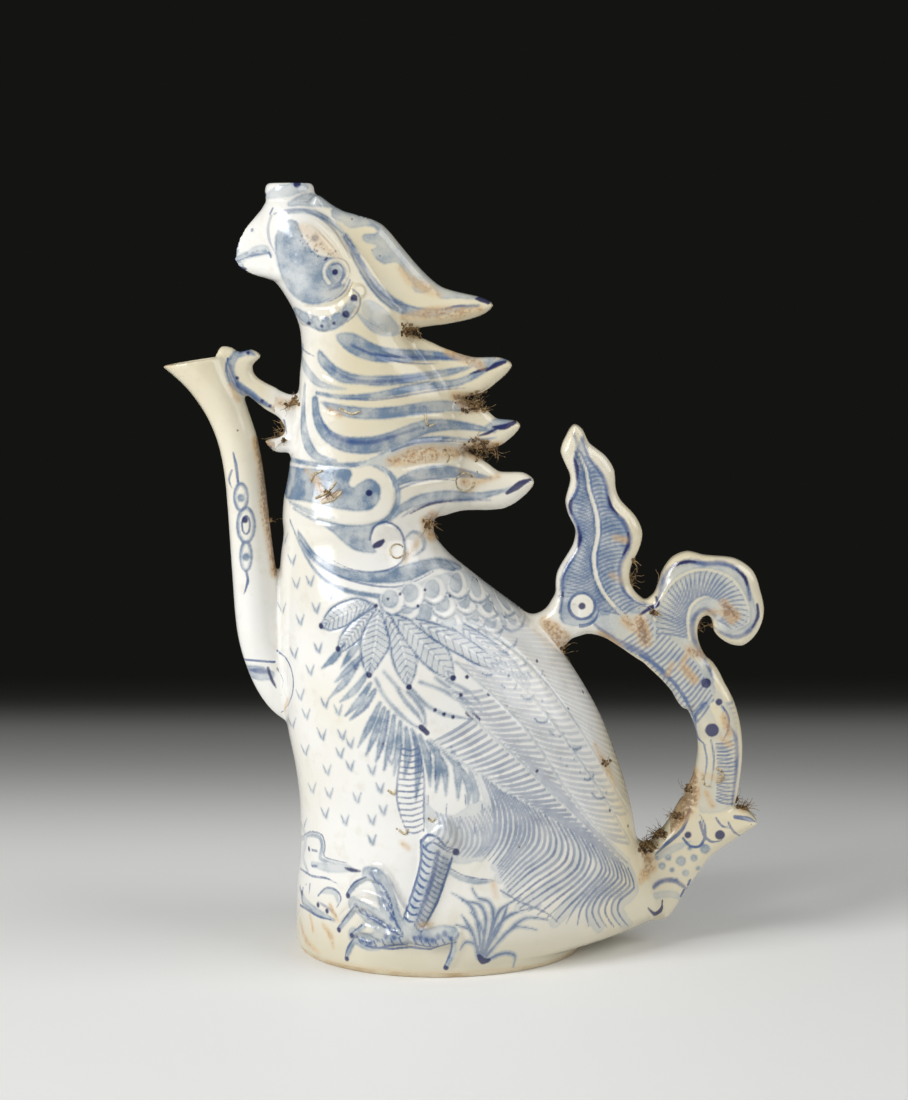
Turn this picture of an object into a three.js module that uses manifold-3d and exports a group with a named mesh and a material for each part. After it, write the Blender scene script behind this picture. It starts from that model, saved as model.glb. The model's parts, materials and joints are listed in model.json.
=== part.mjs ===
// Blue-and-white porcelain wine ewer in the shape of a phoenix, as the potter's separate clay pieces.
// Millimetres. +Z is up, the bird looks along -X, its left flank faces -Y.
// The origin is the centre of the flat face it stands on.
import * as THREE from "three";
import { mergeVertices } from "three/addons/utils/BufferGeometryUtils.js";
import Module from "manifold-3d";

const wasm = await Module();
wasm.setup();

// Driving sizes of the hollow bird.
const bodyHeight = 140;
const bodyLength = 124;
const bodyDepth = 84;
const neckHeight = 66;
const neckLength = 60;
const neckDepth = 48;
const headHeight = 41;
const headLength = 54;
const headDepth = 33;
const wallThickness = 4;
const jointGap = 0.3;
const cutOverrun = 2;

// Floor slab inside the foot.
const floorThickness = 6;

// Filler collar on the crown.
const collarHeight = 6;
const collarRadius = 8;
const fillerBore = 10;
const collarProfileShares = [[0.94, 0, -1], [1, 0.33, 0], [1, 0.67, 0], [0.88, 1, 1]];

// Comb crest behind the crown. It rises this far over the head's top.
const combLength = 66;
const combRise = 3;
const combThickness = 13;
const combRounding = 4;

// Flame plumes down the nape, and where their shared outline starts in front of the neck's middle.
const plumeReach = 80;
const plumeRootShare = 0.26;
const plumeThickness = 9;
const plumeRounding = 3;

// Spout, whose root lies this far under the body's top, and the strut that ties it to the neck.
const spoutReach = 50;
const spoutHeight = 123;
const spoutRootDrop = 63;
const spoutDepth = 14;
const spoutWall = 2.8;
const spoutSetBackShare = 0.79;
const strutThickness = 6.5;
const strutRounding = 1.8;
const strutSink = 4.6;
const strutLevelShare = 0.8;

// Tail plume, curl, handle bow and fishtail bracket. The plume's tip stands over the body's top, and
// the bridge leaves the back at a share of the body's height, sunk a little into it.
const tailBase = 9;
const tailReach = 78;
const tailTipRise = 26;
const tailSink = 1.5;
const tailLevelShare = 0.786;
const handleThickness = 11;
const handleRounding = 3.2;
const leafThickness = 9;
const fishtailThickness = 13;

// Legs in relief on the flanks.
const legHeight = 33;
const legLength = 34;
const legFootHeight = 15;
const kneeRadius = 4.6;
const shankRadius = 4;
const toeRadius = 3.4;
const clawRadius = 1.3;

// Facets, and how near two corners are one.
const halfRingSteps = 14;
const spoutSides = 16;
const strokeSides = 6;
const strokeSteps = 5;
const curveSteps = 3;
const bevelSteps = 2;
const slimShare = 0.7;
const levelStep = 0.001;
const weldDistance = 0.0001;

const glaze = (colour) => new THREE.MeshStandardMaterial({ color: colour, roughness: 0.22, metalness: 0 });
const ivoryGlaze = glaze(0xece6d6);
const palePlumeGlaze = glaze(0xc9cfd8);
const cobaltWashGlaze = glaze(0xaeb9c9);
const unglazedClay = new THREE.MeshStandardMaterial({ color: 0xd9c9ad, roughness: 0.8, metalness: 0 });

// Horizontal sections of the hollow bird, from the foot up. Each row holds the height, the breast,
// the back, the half width and the widest place as shares, then how pointed the breast and back are.
const bodySectionShares = [
  [0, -0.375, 0.387, 0.488, 0, 1, 1],
  [0.021, -0.385, 0.395, 0.494, 0, 1, 1.05],
  [0.036, -0.386, 0.508, 0.498, 0.008, 1, 1.5],
  [0.057, -0.386, 0.585, 0.5, 0.016, 1, 1.7],
  [0.086, -0.385, 0.613, 0.5, 0.032, 1, 1.6],
  [0.143, -0.383, 0.589, 0.494, 0.04, 1, 1.3],
  [0.236, -0.371, 0.544, 0.482, 0.048, 1, 1.1],
  [0.343, -0.373, 0.52, 0.482, 0.048, 1, 1],
  [0.429, -0.383, 0.492, 0.488, 0.032, 1, 1],
  [0.543, -0.407, 0.444, 0.488, 0, 1, 1],
  [0.643, -0.419, 0.383, 0.476, -0.032, 1, 1],
  [0.736, -0.426, 0.31, 0.452, -0.073, 1, 1],
  [0.8, -0.426, 0.238, 0.423, -0.105, 1, 1],
  [0.857, -0.424, 0.153, 0.387, -0.145, 1, 1],
  [0.907, -0.422, 0.081, 0.345, -0.177, 1, 1],
  [0.95, -0.418, 0.024, 0.315, -0.202, 1, 1],
  [1, -0.411, -0.012, 0.292, -0.21, 1, 1],
];
const neckSectionShares = [
  [0.061, -0.855, -0.017, 0.49, -0.433, 1, 1],
  [0.152, -0.848, 0.083, 0.458, -0.417, 1, 1.2],
  [0.273, -0.822, 0.142, 0.427, -0.4, 1, 1.3],
  [0.409, -0.802, 0.133, 0.396, -0.4, 1, 1.3],
  [0.545, -0.782, 0.117, 0.375, -0.4, 1, 1.3],
  [0.667, -0.763, 0.092, 0.358, -0.4, 1, 1.2],
  [0.788, -0.753, 0.017, 0.344, -0.417, 1, 1.1],
  [0.894, -0.742, -0.1, 0.333, -0.433, 1, 1],
  [1, -0.75, -0.175, 0.333, -0.45, 1, 1],
];
const headSectionShares = [
  [0.146, -0.87, -0.194, 0.5, -0.537, 1, 1],
  [0.293, -0.933, -0.278, 0.5, -0.611, 1, 1],
  [0.39, -0.991, -0.333, 0.491, -0.667, 1.2, 1],
  [0.463, -1.176, -0.37, 0.479, -0.704, 2.6, 1],
  [0.537, -1.226, -0.407, 0.461, -0.722, 3, 1],
  [0.634, -1.219, -0.463, 0.442, -0.741, 3, 1],
  [0.732, -1.193, -0.519, 0.418, -0.778, 2.6, 1],
  [0.829, -1.144, -0.574, 0.382, -0.815, 2, 1],
  [0.927, -1.074, -0.639, 0.333, -0.852, 1.3, 1],
  [1, -1.037, -0.741, 0.258, -0.889, 1, 1],
];

// Side outlines of the flat pieces, along and up, as shares of each piece's own sizes.
const combOutlineShares = [
  [0.091, 0.932], [0.135, 0.991], [0.185, 0.943], [0.258, 0.877], [0.391, 0.82], [0.459, 0.768],
  [0.533, 0.643], [0.597, 0.527], [0.676, 0.4], [0.75, 0.314], [0.883, 0.261], [0.958, 0.232],
  [1, 0.186], [0.958, 0.12], [0.814, 0.055], [0.676, 0.025], [0.561, 0.009], [0.47, 0.114],
  [0.394, 0.341], [0.288, 0.568], [0.182, 0.75], [0.076, 0.841],
];
const upperPlumeShares = [
  [0.412, 0.939], [0.487, 0.979], [0.61, 0.918], [0.754, 0.864], [0.851, 0.864], [0.905, 0.829],
  [0.84, 0.739], [0.774, 0.685], [0.696, 0.664], [0.55, 0.648], [0.4, 0.758],
];
const middlePlumeShares = [
  [0.55, 0.636], [0.696, 0.652], [0.799, 0.605], [0.84, 0.561], [0.918, 0.55], [0.939, 0.526],
  [0.885, 0.45], [0.832, 0.415], [0.725, 0.409], [0.575, 0.398], [0.5, 0.515],
];
const lowerPlumeShares = [
  [0.575, 0.382], [0.725, 0.395], [0.807, 0.335], [0.853, 0.295], [0.951, 0.291], [0.997, 0.245],
  [0.94, 0.159], [0.865, 0.109], [0.7, 0.1], [0.597, 0.068], [0.475, 0.091], [0.475, 0.273],
];
const strutOutlineShares = [
  [0.32, 0.982], [0.39, 1.004], [0.46, 1], [0.5, 0.989], [0.58, 0.996], [0.646, 0.978],
  [0.588, 0.954], [0.612, 0.925], [0.73, 0.896], [0.85, 0.875], [1, 0.886], [1, 0.724],
  [0.836, 0.722], [0.726, 0.724], [0.666, 0.754], [0.75, 0.761], [0.798, 0.776], [0.76, 0.813],
  [0.676, 0.834], [0.558, 0.872], [0.44, 0.902], [0.36, 0.935],
];
const rootOutlineShares = [
  [-0.12, 0.654], [0.012, 0.619], [0.079, 0.634], [0.118, 0.662], [0.192, 0.657], [0.218, 0.602],
  [0.187, 0.573], [0.153, 0.555], [0.077, 0.52], [-0.12, 0.572],
];
const leafOutlineShares = [
  [0.118, 0.662], [0.122, 0.706], [0.185, 0.757], [0.197, 0.79], [0.167, 0.819], [0.154, 0.849],
  [0.174, 0.886], [0.171, 0.902], [0.132, 0.945], [0.154, 0.976], [0.19, 1], [0.224, 0.99],
  [0.25, 0.964], [0.318, 0.939], [0.36, 0.908], [0.365, 0.875], [0.387, 0.849], [0.446, 0.82],
  [0.481, 0.784], [0.464, 0.748], [0.436, 0.72], [0.428, 0.69], [0.458, 0.662], [0.505, 0.643],
  [0.462, 0.608], [0.444, 0.575], [0.479, 0.531], [0.422, 0.543], [0.332, 0.571], [0.251, 0.581],
  [0.187, 0.573],
];
const curlOutlineShares = [
  [0.505, 0.643], [0.535, 0.662], [0.563, 0.702], [0.609, 0.734], [0.677, 0.746], [0.737, 0.739],
  [0.796, 0.736], [0.873, 0.732], [0.95, 0.708], [0.981, 0.67], [1, 0.625], [0.971, 0.583],
  [0.908, 0.557], [0.84, 0.564], [0.787, 0.587], [0.778, 0.611], [0.756, 0.619], [0.727, 0.607],
  [0.719, 0.579], [0.741, 0.546], [0.79, 0.514], [0.838, 0.48], [0.641, 0.458], [0.559, 0.492],
  [0.487, 0.527], [0.444, 0.575], [0.462, 0.608],
];
const bowOutlineShares = [
  [0.78, 0.492], [0.838, 0.476], [0.877, 0.446], [0.909, 0.393], [0.918, 0.34], [0.909, 0.285],
  [0.888, 0.232], [0.84, 0.19], [0.72, 0.19], [0.668, 0.232], [0.705, 0.289], [0.726, 0.34],
  [0.721, 0.377], [0.677, 0.43], [0.645, 0.456], [0.69, 0.492],
];
const fishtailOutlineShares = [
  [0.385, 0.078], [0.41, 0.163], [0.481, 0.157], [0.515, 0.149], [0.558, 0.169], [0.618, 0.207],
  [0.668, 0.244], [0.769, 0.235], [0.883, 0.227], [0.931, 0.221], [0.983, 0.2], [0.95, 0.182],
  [0.864, 0.153], [0.787, 0.126], [0.736, 0.093], [0.694, 0.064], [0.656, 0.034], [0.605, 0.001],
  [0.538, -0.006], [0.41, 0.018],
];

// Spout stations from the lip down to the root: outer edge, inner edge, half width.
const spoutStationShares = [
  [0.004, 0.952, 0.44, 0.98, 0.58],
  [0.094, 0.925, 0.49, 0.931, 0.57],
  [0.204, 0.885, 0.548, 0.882, 0.54],
  [0.308, 0.829, 0.6, 0.825, 0.49],
  [0.384, 0.763, 0.65, 0.764, 0.46],
  [0.434, 0.679, 0.694, 0.675, 0.45],
  [0.458, 0.582, 0.724, 0.577, 0.46],
  [0.476, 0.474, 0.754, 0.472, 0.49],
  [0.492, 0.363, 0.79, 0.366, 0.53],
  [0.514, 0.238, 0.82, 0.26, 0.56],
  [0.564, 0.15, 0.86, 0.195, 0.56],
  [0.64, 0.073, 0.96, 0.154, 0.55],
  [0.75, 0.012, 1.06, 0.122, 0.53],
  [0.92, -0.033, 1.16, 0.089, 0.5],
];

// Leg strokes on the flank, each from its thick end to its tip, along and up.
const legStrokeShares = {
  thigh: [[0.1, 1.02], [0.02, 1.0], [-0.05, 0.85], [-0.07, 0.62]],
  shank: [[-0.04, 0.8], [-0.1, 0.5], [-0.2, 0.18], [-0.25, 0.02]],
  upperToe: [[-0.25, 0.02], [-0.42, 0.28], [-0.56, 0.56], [-0.66, 0.52]],
  middleToe: [[-0.25, 0.02], [-0.5, 0.18], [-0.7, 0.26], [-0.8, 0.2]],
  lowerToe: [[-0.25, 0.02], [-0.46, -0.05], [-0.66, 0.02], [-0.76, -0.02]],
  rearToe: [[-0.25, 0.02], [-0.05, -0.06], [0.12, -0.02], [0.2, -0.05]],
};
const clawStrokeShares = [
  [[-0.64, 0.52], [-0.76, 0.48], [-0.84, 0.35]],
  [[-0.78, 0.2], [-0.88, 0.12], [-0.95, 0.02]],
  [[-0.73, -0.01], [-0.82, -0.1], [-0.87, -0.28]],
  [[0.17, -0.04], [0.16, -0.2], [0.08, -0.36]],
];

// Sections worked out in millimetres. The neck starts where the body ends, and the head where the neck ends.
const bodyTop = bodyHeight;
const neckTop = bodyTop + neckHeight;
const headTop = neckTop + headHeight;

function sectionRows(shares, base, height, length, depth, shift) {
  return shares.map(([up, front, back, half, widest, frontPoint, backPoint]) => ({
    z: base + up * height,
    front: shift + front * length,
    back: shift + back * length,
    half: half * depth,
    widest: shift + widest * length,
    frontPoint,
    backPoint,
  }));
}

// The neck's widest place stands over the body's, and the head goes with the neck.
const bodyRows = sectionRows(bodySectionShares, 0, bodyHeight, bodyLength, bodyDepth, 0);
const neckShift = bodyRows.at(-1).widest - neckSectionShares[0][4] * neckLength;
const profileRows = [
  ...bodyRows,
  ...sectionRows(neckSectionShares, bodyTop, neckHeight, neckLength, neckDepth, neckShift),
  ...sectionRows(headSectionShares, neckTop, headHeight, headLength, headDepth, neckShift),
];

// The section at any height, straight between the two nearest rows.
function sectionAt(z) {
  const last = profileRows.length - 1;
  let upper = profileRows.findIndex((row) => row.z >= z);
  if (upper < 0) upper = last;
  if (upper === 0) return { ...profileRows[0], z };
  const below = profileRows[upper - 1];
  const above = profileRows[upper];
  const share = Math.min(1, (z - below.z) / (above.z - below.z));
  const section = { z };
  for (const key of ["front", "back", "half", "widest", "frontPoint", "backPoint"]) {
    section[key] = THREE.MathUtils.lerp(below[key], above[key], share);
  }
  return section;
}

// The cavity keeps the wall all round, so it follows the narrowest section within a wall of its height.
function cavityAt(z) {
  const near = [z - wallThickness, z, z + wallThickness].map((level) => sectionAt(Math.max(0, level)));
  const middle = near[1];
  return {
    ...middle,
    front: Math.max(...near.map((section) => section.front)) + wallThickness,
    back: Math.min(...near.map((section) => section.back)) - wallThickness,
    half: Math.min(...near.map((section) => section.half)) - wallThickness,
  };
}

// A clearance all round the outside takes the fullest section within that clearance of its height.
function swollenAt(z, grow) {
  const near = [z - grow, z, z + grow].map((level) => sectionAt(Math.max(0, level)));
  return {
    ...near[1],
    front: Math.min(...near.map((section) => section.front)) - grow,
    back: Math.max(...near.map((section) => section.back)) + grow,
    half: Math.max(...near.map((section) => section.half)) + grow,
    backPoint: Math.min(...near.map((section) => section.backPoint)),
    frontPoint: Math.min(...near.map((section) => section.frontPoint)),
  };
}

// A point of a section: turn 0 is the back, half a turn is the breast. The width follows |side|.
function sectionPoint(section, turn, side) {
  const along = Math.cos(turn);
  const reach = along > 0 ? section.back - section.widest : section.widest - section.front;
  const point = along > 0 ? section.backPoint : section.frontPoint;
  const width = section.half * Math.pow(Math.abs(Math.sin(turn)), point);
  return new THREE.Vector3(section.widest + reach * along, side * width, section.z);
}

function surfaceHalfWidth(x, z) {
  const section = sectionAt(z);
  const reach = x > section.widest ? section.back - section.widest : section.widest - section.front;
  const along = Math.min(1, Math.abs(x - section.widest) / reach);
  const point = x > section.widest ? section.backPoint : section.frontPoint;
  return section.half * Math.pow(Math.sqrt(1 - along * along), point);
}

// Half a section from the back round one flank to the breast.
function halfRing(section, side) {
  const ring = [];
  for (let step = 0; step <= halfRingSteps; step++) {
    ring.push(sectionPoint(section, (Math.PI * step) / halfRingSteps, side));
  }
  return ring;
}

function levelsBetween(bottom, top) {
  const inside = profileRows.map((row) => row.z).filter((z) => z > bottom + levelStep && z < top - levelStep);
  return [bottom, ...inside, top];
}

// A closed skin through rings of equal length, capped at both ends. From one step of the ring on,
// the facets can be split the other way, so that the two flanks mirror each other.
function loftSkin(rings, capTriangles, mirrorFrom = Infinity) {
  const size = rings[0].length;
  const positions = rings.flat().flatMap((point) => [point.x, point.y, point.z]);
  const faces = [];
  for (let ring = 0; ring + 1 < rings.length; ring++) {
    for (let step = 0; step < size; step++) {
      const here = ring * size + step;
      const beside = ring * size + ((step + 1) % size);
      if (step < mirrorFrom) faces.push(here, beside, beside + size, here, beside + size, here + size);
      else faces.push(here, beside, here + size, beside, beside + size, here + size);
    }
  }
  const lastRing = (rings.length - 1) * size;
  for (const [a, b, c] of capTriangles(size)) {
    faces.push(c, b, a);
    faces.push(lastRing + a, lastRing + b, lastRing + c);
  }
  const geometry = new THREE.BufferGeometry();
  geometry.setAttribute("position", new THREE.Float32BufferAttribute(positions, 3));
  geometry.setIndex(faces);
  return geometry;
}

// Cap of a convex ring.
function fanCap(size) {
  const triangles = [];
  for (let step = 1; step + 1 < size; step++) triangles.push([0, step, step + 1]);
  return triangles;
}

// Cap of a ring that runs out along a wall's outside and back along its inside.
function wallCap(size) {
  const triangles = [];
  for (let step = 0; step + 1 < size / 2; step++) {
    const across = size - 1 - step;
    triangles.push([step, step + 1, across - 1], [step, across - 1, across]);
  }
  return triangles;
}

function signedVolume(geometry) {
  const place = geometry.getAttribute("position");
  const order = geometry.getIndex();
  const corner = [new THREE.Vector3(), new THREE.Vector3(), new THREE.Vector3()];
  let volume = 0;
  for (let face = 0; face < order.count; face += 3) {
    corner.forEach((point, offset) => point.fromBufferAttribute(place, order.getX(face + offset)));
    volume += corner[0].dot(corner[1].clone().cross(corner[2])) / 6;
  }
  return volume;
}

// Merge the corners of a geometry, turn its faces outwards and hand it over as a solid.
function toSolid(geometry) {
  const bare = geometry.clone();
  for (const name of Object.keys(bare.attributes)) {
    if (name !== "position") bare.deleteAttribute(name);
  }
  const merged = mergeVertices(bare, weldDistance);
  const triVerts = new Uint32Array(merged.getIndex().array);
  if (signedVolume(merged) < 0) {
    for (let face = 0; face < triVerts.length; face += 3) {
      [triVerts[face], triVerts[face + 1]] = [triVerts[face + 1], triVerts[face]];
    }
  }
  const vertProperties = new Float32Array(merged.getAttribute("position").array);
  return new wasm.Manifold(new wasm.Mesh({ numProp: 3, vertProperties, triVerts }));
}

function fromSolid(solid) {
  const mesh = solid.getMesh();
  const geometry = new THREE.BufferGeometry();
  geometry.setAttribute("position", new THREE.Float32BufferAttribute(mesh.vertProperties, 3));
  geometry.setIndex(new THREE.Uint32BufferAttribute(mesh.triVerts, 1));
  geometry.computeVertexNormals();
  return geometry;
}

// A solid filled out to one section per height, both flanks alike.
function filledBird(bottom, top, sectionOf) {
  const rings = levelsBetween(bottom, top).map((z) => {
    const section = sectionOf(z);
    return [...halfRing(section, 1).slice(0, -1), ...halfRing(section, -1).reverse().slice(0, -1)];
  });
  return toSolid(loftSkin(rings, fanCap, halfRingSteps));
}

// One press-moulded half of the hollow bird between two heights, open along the seam and at both ends.
function halfShell(bottom, top, side) {
  const seam = jointGap / 2;
  const rings = levelsBetween(bottom, top).map((z) => {
    const outer = halfRing(sectionAt(z), side);
    const inner = halfRing(cavityAt(z), side).reverse();
    const ring = [...outer, ...inner];
    for (const point of ring) point.y = side * Math.max(seam, Math.abs(point.y));
    return ring;
  });
  return toSolid(loftSkin(rings, wallCap, halfRingSteps + 1));
}

// How far each point of an outline can move inwards: its rounding, or less where the piece is slim.
function roundingRoom(outline, inward, rounding) {
  return outline.map((place, index) => {
    let room = rounding;
    for (const other of outline) {
      const apart = other.clone().sub(place);
      const ahead = apart.dot(inward[index]);
      if (ahead > levelStep) room = Math.min(room, (slimShare * apart.lengthSq()) / (2 * ahead));
    }
    return room;
  });
}

// A flat piece from its side outline, with rounded rims, centred on the seam plane.
function sidePlate(points, thickness, rounding, grow = 0) {
  const corners = points.map(([x, z]) => new THREE.Vector3(x, z, 0));
  const curve = new THREE.CatmullRomCurve3(corners, true, "centripetal");
  const route = curve.getPoints(points.length * curveSteps).slice(0, -1);
  const outline = route.map((place) => new THREE.Vector2(place.x, place.y));
  if (THREE.ShapeUtils.area(outline) < 0) outline.reverse();
  const inward = outline.map((place, index) => {
    const before = outline[(index + outline.length - 1) % outline.length];
    const after = outline[(index + 1) % outline.length];
    return new THREE.Vector2(before.y - after.y, after.x - before.x).normalize();
  });
  const room = roundingRoom(outline, inward, rounding);
  const rings = [];
  for (const face of [-1, 1]) {
    for (let step = 0; step <= bevelSteps; step++) {
      const turn = (Math.PI / 2) * ((face < 0 ? step : bevelSteps - step) / bevelSteps);
      const y = face * (thickness / 2 + grow - rounding + rounding * Math.cos(turn));
      rings.push(outline.map((place, index) => {
        const inset = room[index] * (1 - Math.sin(turn)) - grow;
        const moved = place.clone().addScaledVector(inward[index], inset);
        return new THREE.Vector3(moved.x, y, moved.y);
      }));
    }
  }
  const lids = THREE.ShapeUtils.triangulateShape(outline, []).map((lid) => lid.sort((a, b) => a - b));
  return toSolid(loftSkin(rings, () => lids));
}

function scaled(shares, x, width, z, height) {
  return shares.map(([along, up]) => [x + along * width, z + up * height]);
}

// A rounded stroke that lies half sunk in the bird's flank, thinner towards its tip.
function flankStroke(points, side, thick, thin) {
  const route = new THREE.CatmullRomCurve3(points.map(([x, z]) => {
    return new THREE.Vector3(x, side * surfaceHalfWidth(x, z), z);
  }));
  const rings = [];
  for (let step = 0; step <= strokeSteps; step++) {
    const share = step / strokeSteps;
    const place = route.getPoint(share);
    const ahead = route.getTangent(share);
    const outward = new THREE.Vector3(0, side, 0).addScaledVector(ahead, -side * ahead.y).normalize();
    const across = new THREE.Vector3().crossVectors(ahead, outward).normalize();
    const radius = THREE.MathUtils.lerp(thick, thin, share);
    const ring = [];
    for (let spoke = 0; spoke < strokeSides; spoke++) {
      const turn = (2 * Math.PI * spoke) / strokeSides;
      ring.push(place.clone().addScaledVector(outward, radius * Math.sin(turn))
        .addScaledVector(across, radius * Math.cos(turn)));
    }
    rings.push(ring);
  }
  return toSolid(loftSkin(rings, fanCap));
}

// The spout stands on the breast. An inset of its wall gives the bore.
const spoutRootHeight = bodyHeight - spoutRootDrop;
const spoutStart = sectionAt(spoutRootHeight).front - spoutReach * spoutSetBackShare;
function spoutRings(inset, overrun) {
  const rings = spoutStationShares.map(([outerX, outerZ, innerX, innerZ, half]) => {
    const [outer, inner] = scaled([[outerX, outerZ], [innerX, innerZ]],
      spoutStart, spoutReach, spoutRootHeight, spoutHeight).map(([x, z]) => new THREE.Vector3(x, 0, z));
    const middle = outer.clone().add(inner).multiplyScalar(0.5);
    const along = inner.clone().sub(outer);
    const radius = along.length() / 2 - inset;
    along.normalize();
    const ring = [];
    for (let spoke = 0; spoke < spoutSides; spoke++) {
      const turn = (2 * Math.PI * spoke) / spoutSides;
      const point = middle.clone().addScaledVector(along, radius * Math.cos(turn));
      point.y = (half * spoutDepth - inset) * Math.sin(turn);
      ring.push(point);
    }
    return ring;
  });
  const upward = (ring) => ring.map((point) => new THREE.Vector3(point.x, point.y, point.z + overrun));
  return overrun > 0 ? [upward(rings[0]), ...rings] : rings;
}

const bird = filledBird(-cutOverrun, headTop, (z) => swollenAt(z, jointGap));
const spoutOutside = toSolid(loftSkin(spoutRings(0, 0), fanCap));
const spoutGrown = toSolid(loftSkin(spoutRings(-jointGap, 0), fanCap));
const spoutBore = toSolid(loftSkin(spoutRings(spoutWall, cutOverrun), fanCap));

const ewer = new THREE.Group();

function addPiece(name, solid, material) {
  const mesh = new THREE.Mesh(fromSolid(solid), material);
  mesh.name = name;
  ewer.add(mesh);
}

// The two moulded halves of the body, and of the neck and head that stand on it.
for (const [name, side] of [["left", -1], ["right", 1]]) {
  addPiece(`body_${name}_half`, halfShell(0, bodyTop - jointGap / 2, side).subtract(spoutBore), ivoryGlaze);
  addPiece(`neck_${name}_half`, halfShell(bodyTop + jointGap / 2, neckTop - jointGap / 2, side), ivoryGlaze);
  addPiece(`head_${name}_half`, halfShell(neckTop + jointGap / 2, headTop, side), ivoryGlaze);
}

// The floor fills the foot ring from inside.
function floorSlab() {
  const cavity = filledBird(0, bodyTop, (z) => {
    const section = cavityAt(z);
    section.front += jointGap;
    section.back -= jointGap;
    section.half -= jointGap;
    return section;
  });
  const layer = new THREE.BoxGeometry(2 * bodyLength, 2 * bodyDepth, floorThickness);
  layer.translate(0, 0, floorThickness / 2);
  return cavity.intersect(toSolid(layer));
}
addPiece("floor_slab", floorSlab(), unglazedClay);

// The collar of the filler mouth on the crown, or with no bore and a clearance, the room it takes.
// Its outside swells a little. A row holds the radius, the height and how the clearance moves it.
function fillerCollar(bore, grow) {
  const wall = collarProfileShares.map(([out, up, past]) => {
    return new THREE.Vector2(collarRadius * out + grow, collarHeight * up + grow * past);
  });
  const mouth = [new THREE.Vector2(bore, -grow), ...wall, new THREE.Vector2(bore, collarHeight + grow)];
  const profile = [...mouth, mouth[0]];
  const geometry = new THREE.LatheGeometry(profile, 2 * halfRingSteps);
  geometry.rotateX(Math.PI / 2);
  geometry.translate(sectionAt(headTop).widest, 0, headTop + jointGap);
  return toSolid(geometry);
}
addPiece("filler_collar", fillerCollar(fillerBore / 2, 0), ivoryGlaze);

// The comb sweeps back from the crown and the three plumes hang down the nape.
const combStart = sectionAt(headTop).widest;
const combHeight = headHeight + combRise;
const combPlate = sidePlate(scaled(combOutlineShares, combStart, combLength, neckTop, combHeight),
  combThickness, combRounding);
addPiece("comb_crest", combPlate.subtract(bird).subtract(fillerCollar(0, jointGap)), palePlumeGlaze);

const plumeStart = sectionAt(neckTop).widest - plumeReach * plumeRootShare;
const plumes = { upper: upperPlumeShares, middle: middlePlumeShares, lower: lowerPlumeShares };
for (const [name, shares] of Object.entries(plumes)) {
  const outline = scaled(shares, plumeStart, plumeReach, bodyTop, neckHeight);
  const plate = sidePlate(outline, plumeThickness, plumeRounding);
  addPiece(`nape_plume_${name}`, plate.subtract(bird), palePlumeGlaze);
}

addPiece("spout_tube", spoutOutside.subtract(spoutBore).subtract(bird), ivoryGlaze);

// The strut's outline runs from the spout's foremost edge to a little inside the neck's front.
const strutReach = sectionAt(spoutRootHeight + spoutHeight * strutLevelShare).front + strutSink - spoutStart;
const strutPlate = sidePlate(scaled(strutOutlineShares, spoutStart, strutReach, spoutRootHeight, spoutHeight),
  strutThickness, strutRounding);
addPiece("spout_strut", strutPlate.subtract(spoutGrown).subtract(bird), cobaltWashGlaze);

// The tail: a bridge off the back, the standing plume, the curl, the bow to hold and the fishtail below.
const tailStart = sectionAt(bodyHeight * tailLevelShare).back - tailSink;
const tailRise = bodyHeight + tailTipRise;
function tailPlate(shares, thickness, grow = 0) {
  return sidePlate(scaled(shares, tailStart, tailReach, tailBase, tailRise), thickness, handleRounding, grow);
}
const leaf = tailPlate(leafOutlineShares, leafThickness);
const leafGrown = tailPlate(leafOutlineShares, handleThickness, jointGap);
const curl = tailPlate(curlOutlineShares, handleThickness);
const curlGrown = tailPlate(curlOutlineShares, fishtailThickness, jointGap);
const fishtail = tailPlate(fishtailOutlineShares, fishtailThickness);
const fishtailGrown = tailPlate(fishtailOutlineShares, fishtailThickness, jointGap);
const bow = tailPlate(bowOutlineShares, handleThickness);
const root = tailPlate(rootOutlineShares, handleThickness);
addPiece("handle_root", root.subtract(leafGrown).subtract(bird), ivoryGlaze);
addPiece("tail_leaf", leaf.subtract(curlGrown).subtract(bird), cobaltWashGlaze);
addPiece("tail_curl", curl, cobaltWashGlaze);
addPiece("handle_bow", bow.subtract(curlGrown).subtract(fishtailGrown), ivoryGlaze);
addPiece("fishtail_bracket", fishtail.subtract(bird), ivoryGlaze);

// A leg in relief on each flank: knee, shank, four toes and their claws, modelled as one luted piece.
function leg(side) {
  const place = (points) => scaled(points, 0, legLength, legFootHeight, legHeight);
  let solid = flankStroke(place(legStrokeShares.thigh), side, kneeRadius, shankRadius);
  solid = solid.add(flankStroke(place(legStrokeShares.shank), side, shankRadius, toeRadius));
  for (const toe of ["upperToe", "middleToe", "lowerToe", "rearToe"]) {
    solid = solid.add(flankStroke(place(legStrokeShares[toe]), side, toeRadius, toeRadius));
  }
  for (const claw of clawStrokeShares) {
    solid = solid.add(flankStroke(place(claw), side, clawRadius, clawRadius));
  }
  return solid.subtract(bird);
}
addPiece("left_leg", leg(-1), cobaltWashGlaze);
addPiece("right_leg", leg(1), cobaltWashGlaze);

export default ewer;
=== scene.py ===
import json
import math
import random

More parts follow.
